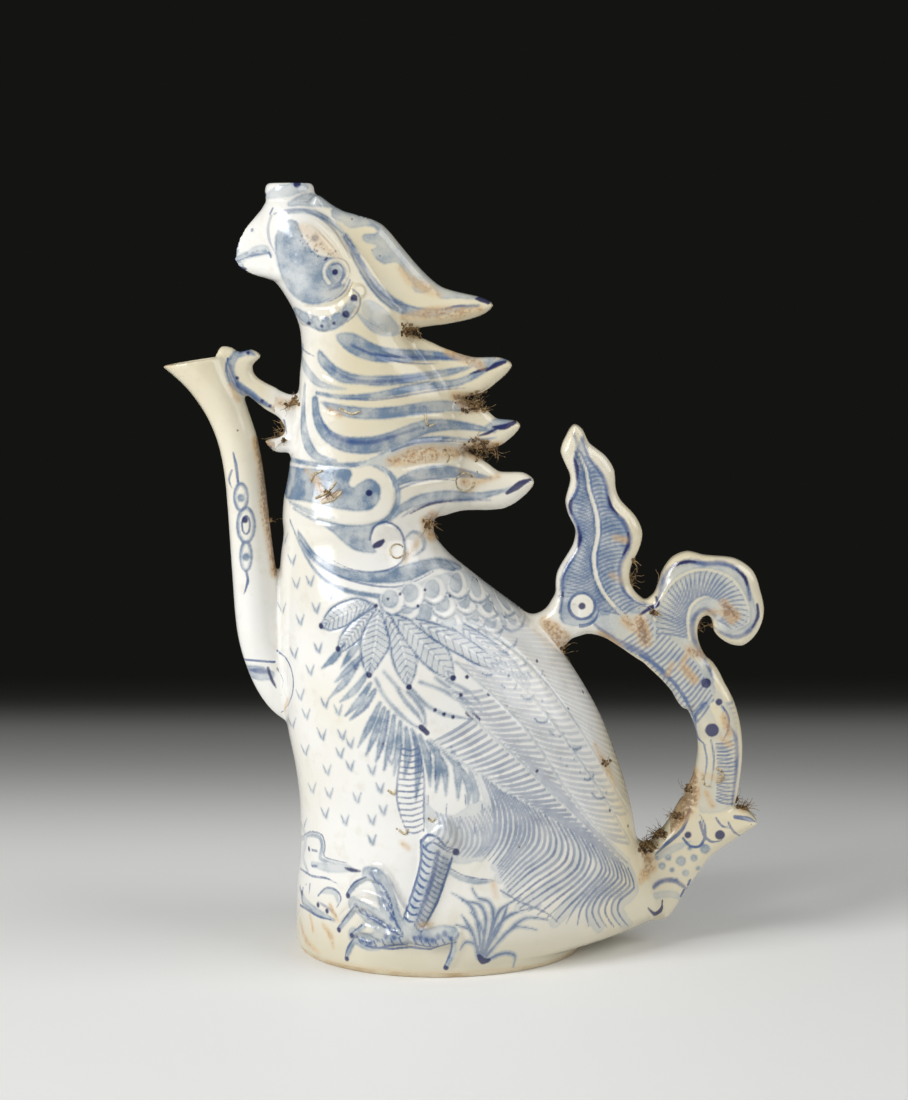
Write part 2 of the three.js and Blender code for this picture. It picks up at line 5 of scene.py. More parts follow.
import bmesh
import bpy
import numpy as np
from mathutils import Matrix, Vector

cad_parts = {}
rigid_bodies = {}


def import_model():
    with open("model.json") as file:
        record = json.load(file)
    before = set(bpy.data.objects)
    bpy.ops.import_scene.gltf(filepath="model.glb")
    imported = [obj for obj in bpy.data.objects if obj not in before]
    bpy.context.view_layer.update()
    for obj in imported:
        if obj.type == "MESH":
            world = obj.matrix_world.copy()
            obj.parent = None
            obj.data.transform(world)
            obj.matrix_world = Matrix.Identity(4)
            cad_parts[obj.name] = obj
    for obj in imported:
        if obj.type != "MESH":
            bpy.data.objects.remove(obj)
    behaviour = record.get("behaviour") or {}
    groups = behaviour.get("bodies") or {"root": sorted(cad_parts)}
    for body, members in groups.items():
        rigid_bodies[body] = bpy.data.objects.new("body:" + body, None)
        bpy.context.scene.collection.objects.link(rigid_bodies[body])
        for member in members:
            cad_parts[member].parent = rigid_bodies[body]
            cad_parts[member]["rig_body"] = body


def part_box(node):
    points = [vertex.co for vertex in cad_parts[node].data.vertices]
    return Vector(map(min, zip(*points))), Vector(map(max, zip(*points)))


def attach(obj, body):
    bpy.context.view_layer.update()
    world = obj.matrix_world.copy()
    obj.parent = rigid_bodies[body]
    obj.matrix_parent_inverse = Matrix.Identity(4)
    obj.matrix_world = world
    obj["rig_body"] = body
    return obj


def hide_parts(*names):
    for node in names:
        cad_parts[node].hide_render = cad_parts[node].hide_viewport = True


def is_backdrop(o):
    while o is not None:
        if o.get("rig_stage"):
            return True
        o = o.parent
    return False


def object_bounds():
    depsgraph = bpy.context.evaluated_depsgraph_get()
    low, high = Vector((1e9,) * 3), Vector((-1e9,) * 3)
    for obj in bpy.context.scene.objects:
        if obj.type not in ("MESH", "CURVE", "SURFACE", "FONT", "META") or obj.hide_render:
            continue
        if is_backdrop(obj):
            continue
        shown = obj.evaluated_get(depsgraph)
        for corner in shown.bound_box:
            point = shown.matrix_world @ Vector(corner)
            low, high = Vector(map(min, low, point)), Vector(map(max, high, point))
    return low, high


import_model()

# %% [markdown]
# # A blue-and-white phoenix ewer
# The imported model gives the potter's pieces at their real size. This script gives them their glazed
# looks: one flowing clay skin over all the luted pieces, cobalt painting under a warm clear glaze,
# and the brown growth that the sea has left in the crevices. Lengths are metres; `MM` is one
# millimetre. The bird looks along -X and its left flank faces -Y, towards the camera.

MM = 0.001
STRAY_KINDS = {"MESH", "CAMERA", "LIGHT"}
for stray in [item for item in bpy.data.objects if item.type in STRAY_KINDS and "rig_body" not in item]:
    bpy.data.objects.remove(stray)
cad_low, cad_high = [list(corner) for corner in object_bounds()]
print("model box, mm:", [round((high - low) / MM, 1) for low, high in zip(cad_low, cad_high)])

# %% [markdown]
# ## The photographer's view
# The camera stands on the bird's left, a little below the crown's height, so that the lip and the
# crown show as thin lines and the foot as a broad curve. Its aim follows from where the centre of
# the foot lies in the frame of 908 by 1100 pixels.

# %% Camera
FRAME_WIDTH, FRAME_HEIGHT = 908, 1100
CAMERA_DISTANCE = 0.82
CAMERA_HEIGHT = 0.238
FOCAL_PIXELS = 2501
FOOT_CENTRE_PIXEL = (438, 942)
SENSOR = 36.0

camera_pitch = math.atan2(CAMERA_HEIGHT, CAMERA_DISTANCE) - math.atan2(
    FOOT_CENTRE_PIXEL[1] - FRAME_HEIGHT / 2, FOCAL_PIXELS)
camera_turn = math.atan2(FOOT_CENTRE_PIXEL[0] - FRAME_WIDTH / 2, FOCAL_PIXELS)
camera_data = bpy.data.cameras.new("camera")
camera_data.sensor_width = SENSOR
camera_data.lens = FOCAL_PIXELS * SENSOR / FRAME_HEIGHT
camera_data.clip_start = 0.01
camera = bpy.data.objects.new("camera", camera_data)
camera.location = (0, -CAMERA_DISTANCE, CAMERA_HEIGHT)
camera.rotation_euler = (math.pi / 2 - camera_pitch, 0, camera_turn)
bpy.context.scene.collection.objects.link(camera)
bpy.context.scene.camera = camera
lens_right = Vector((math.cos(camera_turn), math.sin(camera_turn), 0))
lens_ahead = Vector((-math.sin(camera_turn) * math.cos(camera_pitch),
                     math.cos(camera_turn) * math.cos(camera_pitch), -math.sin(camera_pitch)))
lens_up = lens_right.cross(lens_ahead)


def to_pixel(place):
    """Where a place lies in the photographer's frame."""
    offset = Vector(place) - camera.location
    scale = FOCAL_PIXELS / offset.dot(lens_ahead)
    return (round(FRAME_WIDTH / 2 + scale * offset.dot(lens_right), 1),
            round(FRAME_HEIGHT / 2 - scale * offset.dot(lens_up), 1))


print("foot centre at", to_pixel((0, 0, 0)), "crown at", to_pixel((-0.048, 0, cad_high[2])))

# %% [markdown]
# ## The hollow bird
# The body, neck and head are described by horizontal sections, as a potter checks a mould with
# templates. Each row holds the height, breast, back, half width and widest place as shares of the
# piece's own size, then how pointed the breast and the back are. The sizes come from the frame.

# %% Section templates
BODY_SECTION_SHARES = [
    (0, -0.375, 0.387, 0.488, 0, 1, 1), (0.021, -0.385, 0.395, 0.494, 0, 1, 1.05),
    (0.036, -0.386, 0.508, 0.498, 0.008, 1, 1.5), (0.057, -0.386, 0.585, 0.5, 0.016, 1, 1.7),
    (0.086, -0.385, 0.613, 0.5, 0.032, 1, 1.6), (0.143, -0.383, 0.589, 0.494, 0.04, 1, 1.3),
    (0.236, -0.371, 0.544, 0.482, 0.048, 1, 1.1), (0.343, -0.373, 0.52, 0.482, 0.048, 1, 1),
    (0.429, -0.383, 0.492, 0.488, 0.032, 1, 1), (0.543, -0.407, 0.444, 0.488, 0, 1, 1),
    (0.643, -0.419, 0.383, 0.476, -0.032, 1, 1), (0.736, -0.426, 0.31, 0.452, -0.073, 1, 1),
    (0.8, -0.426, 0.238, 0.423, -0.105, 1, 1), (0.857, -0.424, 0.153, 0.387, -0.145, 1, 1),
    (0.907, -0.422, 0.081, 0.345, -0.177, 1, 1), (0.95, -0.418, 0.024, 0.315, -0.202, 1, 1),
    (1, -0.411, -0.012, 0.292, -0.21, 1, 1),
]
NECK_SECTION_SHARES = [
    (0.061, -0.855, -0.017, 0.49, -0.433, 1, 1), (0.152, -0.848, 0.083, 0.458, -0.417, 1, 1.2),
    (0.273, -0.822, 0.142, 0.427, -0.4, 1, 1.3), (0.409, -0.802, 0.133, 0.396, -0.4, 1, 1.3),
    (0.545, -0.782, 0.117, 0.375, -0.4, 1, 1.3), (0.667, -0.763, 0.092, 0.358, -0.4, 1, 1.2),
    (0.788, -0.753, 0.017, 0.344, -0.417, 1, 1.1), (0.894, -0.742, -0.1, 0.333, -0.433, 1, 1),
    (1, -0.75, -0.175, 0.333, -0.45, 1, 1),
]
HEAD_SECTION_SHARES = [
    (0.146, -0.87, -0.194, 0.5, -0.537, 1, 1), (0.293, -0.933, -0.278, 0.5, -0.611, 1, 1),
    (0.39, -0.991, -0.333, 0.491, -0.667, 1.2, 1), (0.463, -1.176, -0.37, 0.479, -0.704, 2.6, 1),
    (0.537, -1.226, -0.407, 0.461, -0.722, 3, 1), (0.634, -1.219, -0.463, 0.442, -0.741, 3, 1),
    (0.732, -1.193, -0.519, 0.418, -0.778, 2.6, 1), (0.829, -1.144, -0.574, 0.382, -0.815, 2, 1),
    (0.927, -1.074, -0.639, 0.333, -0.852, 1.3, 1), (1, -1.037, -0.741, 0.258, -0.889, 1, 1),
]


def measured_piece(shares, node):
    """The real length, half width and height span of a moulded half, from the frame."""
    low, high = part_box(node)
    rows = np.array(shares)
    reach = rows[:, 2].max() - rows[:, 1].min()
    return (high[0] - low[0]) / reach, abs(low[1]) / rows[:, 3].max(), low[2], high[2]


body_length, body_depth, _, body_top = measured_piece(BODY_SECTION_SHARES, "body_left_half")
neck_length, neck_depth, _, neck_top = measured_piece(NECK_SECTION_SHARES, "neck_left_half")
head_length, head_depth, _, head_top = measured_piece(HEAD_SECTION_SHARES, "head_left_half")


def section_rows(shares, base, top, length, depth):
    """The shares as real heights, reaches and half widths."""
    return [(base + up * (top - base), front * length, back * length, half * depth, widest * length,
             breast, nape) for up, front, back, half, widest, breast, nape in shares]


SECTIONS = np.array(
    section_rows(BODY_SECTION_SHARES, 0, body_top, body_length, body_depth)
    + section_rows(NECK_SECTION_SHARES, body_top, neck_top, neck_length, neck_depth)
    + section_rows(HEAD_SECTION_SHARES, neck_top, head_top, head_length, head_depth))
print("sections:", len(SECTIONS), "crown height mm:", round(head_top / MM, 1))


def glide(heights, knots, values):
    """Values between knots on a smooth line that never swings past them."""
    steps = np.diff(knots)
    slopes = np.diff(values) / steps
    tangents = np.zeros(len(knots))
    same_way = slopes[:-1] * slopes[1:] > 0
    tangents[1:-1][same_way] = 2 * slopes[:-1][same_way] * slopes[1:][same_way] / (
        slopes[:-1][same_way] + slopes[1:][same_way])
    place = np.clip(np.searchsorted(knots, heights) - 1, 0, len(knots) - 2)
    t = np.clip((heights - knots[place]) / steps[place], 0, 1)
    start, end = values[place], values[place + 1]
    lead, trail = tangents[place] * steps[place], tangents[place + 1] * steps[place]
    return (start * (1 + 2 * t) * (1 - t) ** 2 + lead * t * (1 - t) ** 2
            + end * t ** 2 * (3 - 2 * t) + trail * t ** 2 * (t - 1))


def section_at(heights):
    """Front, back, half width, widest place and the two pointednesses at each height."""
    heights = np.atleast_1d(np.asarray(heights, dtype=float))
    return [glide(heights, SECTIONS[:, 0], SECTIONS[:, column]) for column in range(1, 7)]

# %% [markdown]
# A section becomes a ring of points. Turning starts at the back and runs round the right flank.
# The same formula, turned round, tells how far any point lies round the section, which the painting
# needs, because a brush follows the surface and not the camera.

# %% Rings and the way round the bird
RING_POINTS = 96


def ring_at(height, shrink=0.0, points=RING_POINTS):
    """The section at a height as a ring of points, smaller all round by the shrink."""
    front, back, half, widest, breast, nape = [float(value[0]) for value in section_at(height)]
    ring = []
    for spoke in range(points):
        turn = 2 * math.pi * spoke / points
        along, across = math.cos(turn), math.sin(turn)
        reach = (back - widest if along > 0 else widest - front) - shrink
        bulge = abs(across) ** (nape if along > 0 else breast)
        ring.append((widest + reach * along, math.copysign((half - shrink) * bulge, across), height))
    return ring


ARC_LEVELS = np.linspace(0, head_top, 200)
ARC_TURNS = np.linspace(0, 1, 65)


def arc_table():
    """For each height, how much longer the way round is than the straight way, front and back."""
    front, back, half, widest, breast, nape = section_at(ARC_LEVELS)
    tables = []
    for reach, point in ((widest - front, breast), (back - widest, nape)):
        turn = ARC_TURNS[None, :] * math.pi / 2
        along = reach[:, None] * np.sin(turn)
        across = half[:, None] * np.cos(turn) ** point[:, None]
        pieces = np.hypot(np.diff(along, axis=1), np.diff(across, axis=1))
        excess = np.concatenate([np.zeros((len(reach), 1)), np.cumsum(pieces, axis=1)], axis=1) - along
        tables.append(excess)
    return tables


FRONT_EXCESS, BACK_EXCESS = arc_table()
print("the way round the breast is longer by up to mm:", round(float(FRONT_EXCESS.max()) / MM, 1))
BACK_UNROLL_LEVELS = (0.118, 0.134)
FRONT_UNROLL_LEVELS = (0.196, 0.208)


def unrolled(points):
    """Side-view places with the way round the breast and the back laid out flat."""
    x, z = points[:, 0], points[:, 2]
    front, back, half, widest, _, _ = section_at(z)
    ahead = x < widest
    reach = np.where(ahead, widest - front, back - widest)
    turn = np.arcsin(np.clip(np.abs(x - widest) / np.maximum(reach, MM), 0, 1)) / (math.pi / 2)
    level = np.clip(z / head_top * (len(ARC_LEVELS) - 1), 0, len(ARC_LEVELS) - 1.001)
    column = np.clip(turn * (len(ARC_TURNS) - 1), 0, len(ARC_TURNS) - 1.001)
    row, cell = level.astype(int), column.astype(int)
    u, v = level - row, column - cell
    excess = np.zeros(len(x))
    for table, mask in ((FRONT_EXCESS, ahead), (BACK_EXCESS, ~ahead)):
        value = (table[row, cell] * (1 - u) * (1 - v) + table[row + 1, cell] * u * (1 - v)
                 + table[row, cell + 1] * (1 - u) * v + table[row + 1, cell + 1] * u * v)
        excess = np.where(mask, value, excess)
    low, high = BACK_UNROLL_LEVELS
    back_share = 1 - np.clip((z - low) / (high - low), 0, 1)
    low, high = FRONT_UNROLL_LEVELS
    front_share = 1 - np.clip((z - low) / (high - low), 0, 1)
    signed = np.where(ahead, -excess * front_share, excess * back_share)
    return np.stack([x + signed, z], axis=1)

# %% [markdown]
# ## Clay forms
# Every luted piece starts as one ring of points, which is extruded from ring to ring: rings of
# templates for the bird, rings across the horn for the spout, and rims of the side outline for the
# flat plumes. That is close to how press-moulded and cut clay is shaped, and keeps each form closed.

# %% Ring lofts
forms = bpy.data.collections.new("forms")


def loft(name, rings):
    """A closed form through rings of points, capped at both ends."""
    mesh = bpy.data.meshes.new(name)
    shape = bmesh.new()
    spoke = shape.verts.layers.int.new("spoke")
    start = bmesh.ops.create_circle(shape, segments=len(rings[0]), radius=1)["verts"]
    for index, corner in enumerate(start):
        corner[spoke] = index
        corner.co = rings[0][index]
    rim = list(shape.edges)
    bmesh.ops.triangle_fill(shape, edges=rim, use_beauty=False)
    for ring in rings[1:]:
        grown = bmesh.ops.extrude_edge_only(shape, edges=rim)["geom"]
        corners = {item for item in grown if isinstance(item, bmesh.types.BMVert)}
        rim = [item for item in grown if isinstance(item, bmesh.types.BMEdge) and set(item.verts) <= corners]
        for corner in corners:
            corner.co = ring[corner[spoke]]
    bmesh.ops.triangle_fill(shape, edges=rim, use_beauty=False)
    bmesh.ops.recalc_face_normals(shape, faces=shape.faces)
    shape.to_mesh(mesh)
    shape.free()
    piece = bpy.data.objects.new(name, mesh)
    forms.objects.link(piece)
    return piece

# %% Smooth lines
def smooth_line(points, per_span, closed=False):
    """A centripetal curve through given points."""
    points = [np.array(point, dtype=float) for point in points]
    count = len(points)
    line = []
    spans = count if closed else count - 1
    for span in range(spans):
        ends = []
        for offset in (-1, 0, 1, 2):
            index = span + offset
            if closed:
                ends.append(points[index % count])
            elif index < 0:
                ends.append(2 * points[0] - points[1])
            elif index >= count:
                ends.append(2 * points[-1] - points[-2])
            else:
                ends.append(points[index])
        knots = [0.0]
        for before, after in zip(ends, ends[1:]):
            knots.append(knots[-1] + max(np.linalg.norm(after - before), 1e-9) ** 0.5)
        for step in range(per_span):
            t = knots[1] + (knots[2] - knots[1]) * step / per_span
            level = ends
            for width in (1, 2, 3):
                level = [((knots[i + width] - t) * level[i] + (t - knots[i]) * level[i + 1])
                         / (knots[i + width] - knots[i]) for i in range(4 - width)]
            line.append(level[0])
    if not closed:
        line.append(points[-1])
    return np.array(line)

# %% Rounded plates
RIM_STEPS = 6
SLIM_SHARE = 0.8


def plate(name, outline, thickness, rounding):
    """A flat clay piece with a rounded rim, from its side outline of (x, z) places."""
    line = smooth_line(outline, 6, closed=True)
    area = np.sum(line[:, 0] * np.roll(line[:, 1], -1) - np.roll(line[:, 0], -1) * line[:, 1])
    if area < 0:
        line = line[::-1]
    before, after = np.roll(line, 1, axis=0), np.roll(line, -1, axis=0)
    inward = np.stack([before[:, 1] - after[:, 1], after[:, 0] - before[:, 0]], axis=1)
    inward /= np.linalg.norm(inward, axis=1)[:, None]
    apart = line[None, :, :] - line[:, None, :]
    ahead = np.einsum("ijk,ik->ij", apart, inward)
    room = np.where(ahead > 1e-7, (apart ** 2).sum(axis=2) / np.maximum(2 * ahead, 1e-9), 1.0)
    inset = np.minimum(rounding, SLIM_SHARE * room.min(axis=1))
    rings = []
    for face in (-1, 1):
        for step in range(RIM_STEPS + 1):
            turn = math.pi / 2 * (step if face < 0 else RIM_STEPS - step) / RIM_STEPS
            y = face * (thickness / 2 - rounding + rounding * math.cos(turn))
            moved = line + inward * (inset * (1 - math.sin(turn)))[:, None]
            rings.append([(x, y, z) for x, z in moved])
    return loft(name, rings)

# %% The bird's core, filled for now
FOOT_BAND = 0.02
bird_levels = np.concatenate([np.linspace(0, FOOT_BAND, 21), np.linspace(FOOT_BAND, head_top, 100)[1:]])
bird = loft("bird", [ring_at(level) for level in bird_levels])
print("core:", len(bird.data.polygons), "faces")

# %% [markdown]
# The crown's collar is a short tube, and the spout is a horn of tilted ellipses from its pinched lip
# down to the breast. Both get their bores after the clay is joined.

# %% Collar and spout
COLLAR_PROFILE_SHARES = [(0.88, -0.25), (0.94, 0), (1, 0.3), (1, 0.7), (0.95, 0.9), (0.86, 1)]
collar_low, collar_high = [Vector(corner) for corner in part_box("filler_collar")]
collar_radius = (collar_high.x - collar_low.x) / 2
collar_x = (collar_high.x + collar_low.x) / 2
collar_height = collar_high.z - collar_low.z


def round_ring(x, z, radius, points=48):
    turns = [2 * math.pi * spoke / points for spoke in range(points)]
    return [(x + radius * math.cos(turn), radius * math.sin(turn), z) for turn in turns]


loft("collar", [round_ring(collar_x, collar_low.z + up * collar_height, collar_radius * out)
                for out, up in COLLAR_PROFILE_SHARES])

SPOUT_STATION_SHARES = [
    (-0.008, 0.952, 0.428, 0.98, 0.58), (0.074, 0.925, 0.47, 0.931, 0.57), (0.172, 0.885, 0.52, 0.882, 0.54),
    (0.268, 0.829, 0.565, 0.825, 0.49), (0.342, 0.763, 0.612, 0.764, 0.46), (0.39, 0.679, 0.652, 0.675, 0.45),
    (0.412, 0.582, 0.68, 0.577, 0.46), (0.428, 0.474, 0.708, 0.472, 0.49), (0.444, 0.363, 0.744, 0.366, 0.53),
    (0.468, 0.238, 0.78, 0.26, 0.56), (0.52, 0.15, 0.83, 0.195, 0.56), (0.6, 0.073, 0.94, 0.154, 0.55),
    (0.715, 0.012, 1.05, 0.122, 0.53), (0.9, -0.033, 1.16, 0.089, 0.5),
]
spout_low = Vector(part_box("spout_tube")[0])
SPOUT_REACH, SPOUT_HEIGHT, SPOUT_BASE, SPOUT_DEPTH, SPOUT_WALL = 0.05, 0.123, 0.077, 0.014, 0.0028
SPOUT_LIP_SHARE, SPOUT_LIP_RISE, SPOUT_BORE_RINGS = 0.004, 0.004, 50
spout_start = spout_low.x - SPOUT_LIP_SHARE * SPOUT_REACH


def spout_rings(inset, lift=0.0, points=48):
    """Rings across the horn; a lift adds one more above the lip, so that a bore opens it."""
    stations = smooth_line([(spout_start + ox * SPOUT_REACH, SPOUT_BASE + oz * SPOUT_HEIGHT,
                             spout_start + ix * SPOUT_REACH, SPOUT_BASE + iz * SPOUT_HEIGHT,
                             half * SPOUT_DEPTH) for ox, oz, ix, iz, half in SPOUT_STATION_SHARES], 5)
    rings = []
    for outer_x, outer_z, inner_x, inner_z, half in stations:
        outer, inner = np.array([outer_x, outer_z]), np.array([inner_x, inner_z])
        middle, along = (outer + inner) / 2, (inner - outer) / np.linalg.norm(inner - outer)
        radius = np.linalg.norm(inner - outer) / 2 - inset
        ring = []
        for spoke in range(points):
            turn = 2 * math.pi * spoke / points
            x, z = middle + along * radius * math.cos(turn)
            ring.append((x, (half - inset) * math.sin(turn), z))
        rings.append(ring)
    if lift:
        rings.insert(0, [(x, y, z + lift) for x, y, z in rings[0]])
    return rings


loft("spout", spout_rings(0))
print("collar radius mm:", round(collar_radius / MM, 1), "rings along the spout:", len(spout_rings(0)))

# %% [markdown]
# The comb, the three plumes of the nape, the strut and the tail pieces are cut from slabs of clay and rounded
# at the rim. Their outlines are shares of given lengths and heights, and their thickness is the depth of each
# piece's own frame box.

# %% Outlines of comb, plumes and strut
COMB_SHARES = [
    (0.091, 0.932), (0.135, 0.991), (0.185, 0.943), (0.258, 0.877), (0.391, 0.82), (0.459, 0.768),
    (0.533, 0.643), (0.597, 0.527), (0.676, 0.4), (0.75, 0.314), (0.883, 0.261), (0.958, 0.232),
    (1, 0.186), (0.958, 0.12), (0.814, 0.055), (0.676, 0.025), (0.561, 0.009), (0.47, 0.114),
    (0.394, 0.341), (0.288, 0.568), (0.182, 0.75), (0.076, 0.841),
]
UPPER_PLUME_SHARES = [
    (0.412, 0.939), (0.487, 0.979), (0.61, 0.918), (0.754, 0.864), (0.851, 0.864), (0.905, 0.829),
    (0.84, 0.739), (0.774, 0.685), (0.696, 0.664), (0.55, 0.648), (0.4, 0.758),
]
MIDDLE_PLUME_SHARES = [
    (0.55, 0.636), (0.696, 0.652), (0.799, 0.605), (0.84, 0.561), (0.918, 0.55), (0.939, 0.526),
    (0.885, 0.45), (0.832, 0.415), (0.725, 0.409), (0.575, 0.398), (0.5, 0.515),
]
LOWER_PLUME_SHARES = [
    (0.575, 0.382), (0.725, 0.395), (0.807, 0.335), (0.853, 0.295), (0.951, 0.291), (0.997, 0.245),
    (0.94, 0.159), (0.865, 0.109), (0.7, 0.1), (0.597, 0.068), (0.475, 0.091), (0.475, 0.273),
]
STRUT_SHARES = [
    (0.32, 0.982), (0.39, 1.004), (0.46, 1), (0.5, 0.989), (0.58, 0.996), (0.646, 0.978),
    (0.588, 0.954), (0.612, 0.925), (0.73, 0.896), (0.85, 0.875), (1, 0.886), (1, 0.724),
    (0.836, 0.722), (0.726, 0.724), (0.666, 0.754), (0.75, 0.761), (0.798, 0.776), (0.76, 0.813),
    (0.676, 0.834), (0.558, 0.872), (0.44, 0.902), (0.36, 0.935),
]

# %% Outlines of the tail
ROOT_SHARES = [
    (-0.12, 0.654), (0.012, 0.619), (0.079, 0.634), (0.118, 0.662), (0.192, 0.657), (0.218, 0.602),
    (0.187, 0.573), (0.153, 0.555), (0.077, 0.52), (-0.12, 0.572),
]
LEAF_SHARES = [
    (0.118, 0.662), (0.122, 0.706), (0.185, 0.757), (0.197, 0.79), (0.167, 0.819), (0.154, 0.849),
    (0.174, 0.886), (0.171, 0.902), (0.132, 0.945), (0.154, 0.976), (0.19, 1), (0.224, 0.99),
    (0.25, 0.964), (0.318, 0.939), (0.36, 0.908), (0.365, 0.875), (0.387, 0.849), (0.446, 0.82),
    (0.481, 0.784), (0.464, 0.748), (0.436, 0.72), (0.428, 0.69), (0.458, 0.662), (0.505, 0.643),
    (0.53, 0.6), (0.53, 0.52), (0.479, 0.526), (0.422, 0.543), (0.332, 0.571), (0.251, 0.581),
    (0.187, 0.573),
]
CURL_SHARES = [
    (0.49, 0.645), (0.535, 0.662), (0.563, 0.702), (0.609, 0.734), (0.677, 0.746), (0.737, 0.739),
    (0.796, 0.736), (0.873, 0.732), (0.95, 0.708), (0.981, 0.67), (1, 0.625), (0.971, 0.583),
    (0.908, 0.557), (0.84, 0.564), (0.787, 0.587), (0.778, 0.611), (0.756, 0.619), (0.727, 0.607),
    (0.719, 0.579), (0.741, 0.546), (0.79, 0.514), (0.838, 0.48), (0.87, 0.44), (0.66, 0.43),
    (0.612, 0.464), (0.559, 0.492), (0.487, 0.524), (0.41, 0.57), (0.43, 0.61),
]
BOW_SHARES = [
    (0.77, 0.53), (0.838, 0.48), (0.877, 0.446), (0.909, 0.393), (0.918, 0.34), (0.909, 0.285),
    (0.888, 0.232), (0.84, 0.19), (0.72, 0.19), (0.668, 0.232), (0.705, 0.289), (0.726, 0.34),
    (0.721, 0.377), (0.677, 0.43), (0.612, 0.47), (0.62, 0.52),
]
FISHTAIL_SHARES = [
    (0.385, 0.078), (0.41, 0.163), (0.481, 0.157), (0.515, 0.149), (0.558, 0.169), (0.618, 0.207),
    (0.668, 0.244), (0.769, 0.235), (0.883, 0.227), (0.931, 0.221), (0.983, 0.2), (0.95, 0.182),
    (0.864, 0.153), (0.787, 0.126), (0.736, 0.093), (0.694, 0.064), (0.656, 0.034), (0.605, 0.001),
    (0.538, -0.006), (0.41, 0.018),
]

# %% Cut the slabs
def placed(shares, x, width, z, height):
    """Shares of a piece's length and height as places in the side view."""
    return [(x + along * width, z + up * height) for along, up in shares]


TAIL_START, TAIL_BASE, TAIL_REACH, TAIL_RISE = 0.02996, 0.009, 0.078, 0.166
PLUME_START, PLUME_REACH = -0.048, 0.080
COMB_START, COMB_LENGTH, COMB_HEIGHT = -0.048, 0.066, 0.044
COMB_ROUNDING, PLUME_ROUNDING, STRUT_ROUNDING = 0.005, 0.004, 0.003


def depth_of(node):
    low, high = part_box(node)
    return high[1] - low[1]


plate("comb", placed(COMB_SHARES, COMB_START, COMB_LENGTH, neck_top, COMB_HEIGHT),
      depth_of("comb_crest"), COMB_ROUNDING)
for name, shares in (("upper", UPPER_PLUME_SHARES), ("middle", MIDDLE_PLUME_SHARES),
                     ("lower", LOWER_PLUME_SHARES)):
    outline = placed(shares, PLUME_START, PLUME_REACH, body_top, neck_top - body_top)
    plate("plume_" + name, outline, depth_of("nape_plume_" + name), PLUME_ROUNDING)
plate("strut", placed(STRUT_SHARES, spout_start, SPOUT_REACH, SPOUT_BASE, SPOUT_HEIGHT),
      depth_of("spout_strut"), STRUT_ROUNDING)
for name, shares, node, rounding in (
        ("root", ROOT_SHARES, "handle_root", 0.005), ("leaf", LEAF_SHARES, "tail_leaf", 0.0035),
        ("curl", CURL_SHARES, "tail_curl", 0.004), ("bow", BOW_SHARES, "handle_bow", 0.005),
        ("fishtail", FISHTAIL_SHARES, "fishtail_bracket", 0.005)):
    plate(name, placed(shares, TAIL_START, TAIL_REACH, TAIL_BASE, TAIL_RISE), depth_of(node), rounding)

# %% [markdown]
# A leg lies in relief on each flank. Each bone is a tapering stroke of clay pressed half into the
# body, so its rings ride on the flank's own curve.

# %% Legs
LEG_LENGTH, LEG_HEIGHT, LEG_FOOT = 0.034, 0.033, 0.015
TIP_START, TIP_SPAN = 0.8, 0.2
LEG_STROKE_SHARES = {
    "thigh": ([(0.1, 1.02), (0.02, 1.0), (-0.05, 0.85), (-0.07, 0.62)], 4.4, 3.6),
    "shank": ([(-0.04, 0.8), (-0.1, 0.5), (-0.2, 0.18), (-0.25, 0.02)], 3.6, 3.2),
    "upper_toe": ([(-0.25, 0.02), (-0.42, 0.28), (-0.56, 0.56), (-0.66, 0.52)], 3.2, 2.2),
    "middle_toe": ([(-0.25, 0.02), (-0.5, 0.18), (-0.7, 0.26), (-0.8, 0.2)], 3.2, 2.2),
    "lower_toe": ([(-0.25, 0.02), (-0.46, -0.05), (-0.66, 0.02), (-0.76, -0.02)], 3.2, 2.2),
    "rear_toe": ([(-0.25, 0.02), (-0.05, -0.06), (0.12, -0.02), (0.2, -0.05)], 3.2, 2.2),
    "upper_claw": ([(-0.64, 0.52), (-0.76, 0.48), (-0.84, 0.35)], 1.4, 0.8),
    "middle_claw": ([(-0.78, 0.2), (-0.88, 0.12), (-0.95, 0.02)], 1.4, 0.8),
    "lower_claw": ([(-0.73, -0.01), (-0.82, -0.1), (-0.87, -0.28)], 1.4, 0.8),
    "rear_claw": ([(0.17, -0.04), (0.16, -0.2), (0.08, -0.36)], 1.4, 0.8),
}


def flank_width(x, z):
    """Half the bird's width at a place of the side view."""
    front, back, half, widest, breast, nape = [float(value[0]) for value in section_at(z)]
    reach, point = (back - widest, nape) if x > widest else (widest - front, breast)
    along = min(1.0, abs(x - widest) / reach)
    return half * math.sqrt(1 - along * along) ** point


def flank_stroke(name, places, side, thick, thin, points=16):
    route = [Vector((x, side * flank_width(x, z), z)) for x, z in smooth_line(places, 6)]
    rings = []
    for index, place in enumerate(route):
        ahead = (route[min(index + 1, len(route) - 1)] - route[max(index - 1, 0)]).normalized()
        outward = (Vector((0, side, 0)) - ahead * (side * ahead.y)).normalized()
        across = ahead.cross(outward)
        share = index / (len(route) - 1)
        radius = thick + (thin - thick) * share
        if share > TIP_START:
            radius *= math.sqrt(max(0.2, 1 - ((share - TIP_START) / TIP_SPAN) ** 2 * 0.8))
        turns = [2 * math.pi * spoke / points for spoke in range(points)]
        rings.append([place + radius * (math.sin(turn) * outward + math.cos(turn) * across)
                      for turn in turns])
    loft(name, rings)


for side in (-1, 1):
    for bone, (shares, thick, thin) in LEG_STROKE_SHARES.items():
        route = placed(shares, 0, LEG_LENGTH, LEG_FOOT, LEG_HEIGHT)
        flank_stroke("leg_" + bone, route, side, thick * MM, thin * MM)
print("strokes of clay in each leg:", len(LEG_STROKE_SHARES))

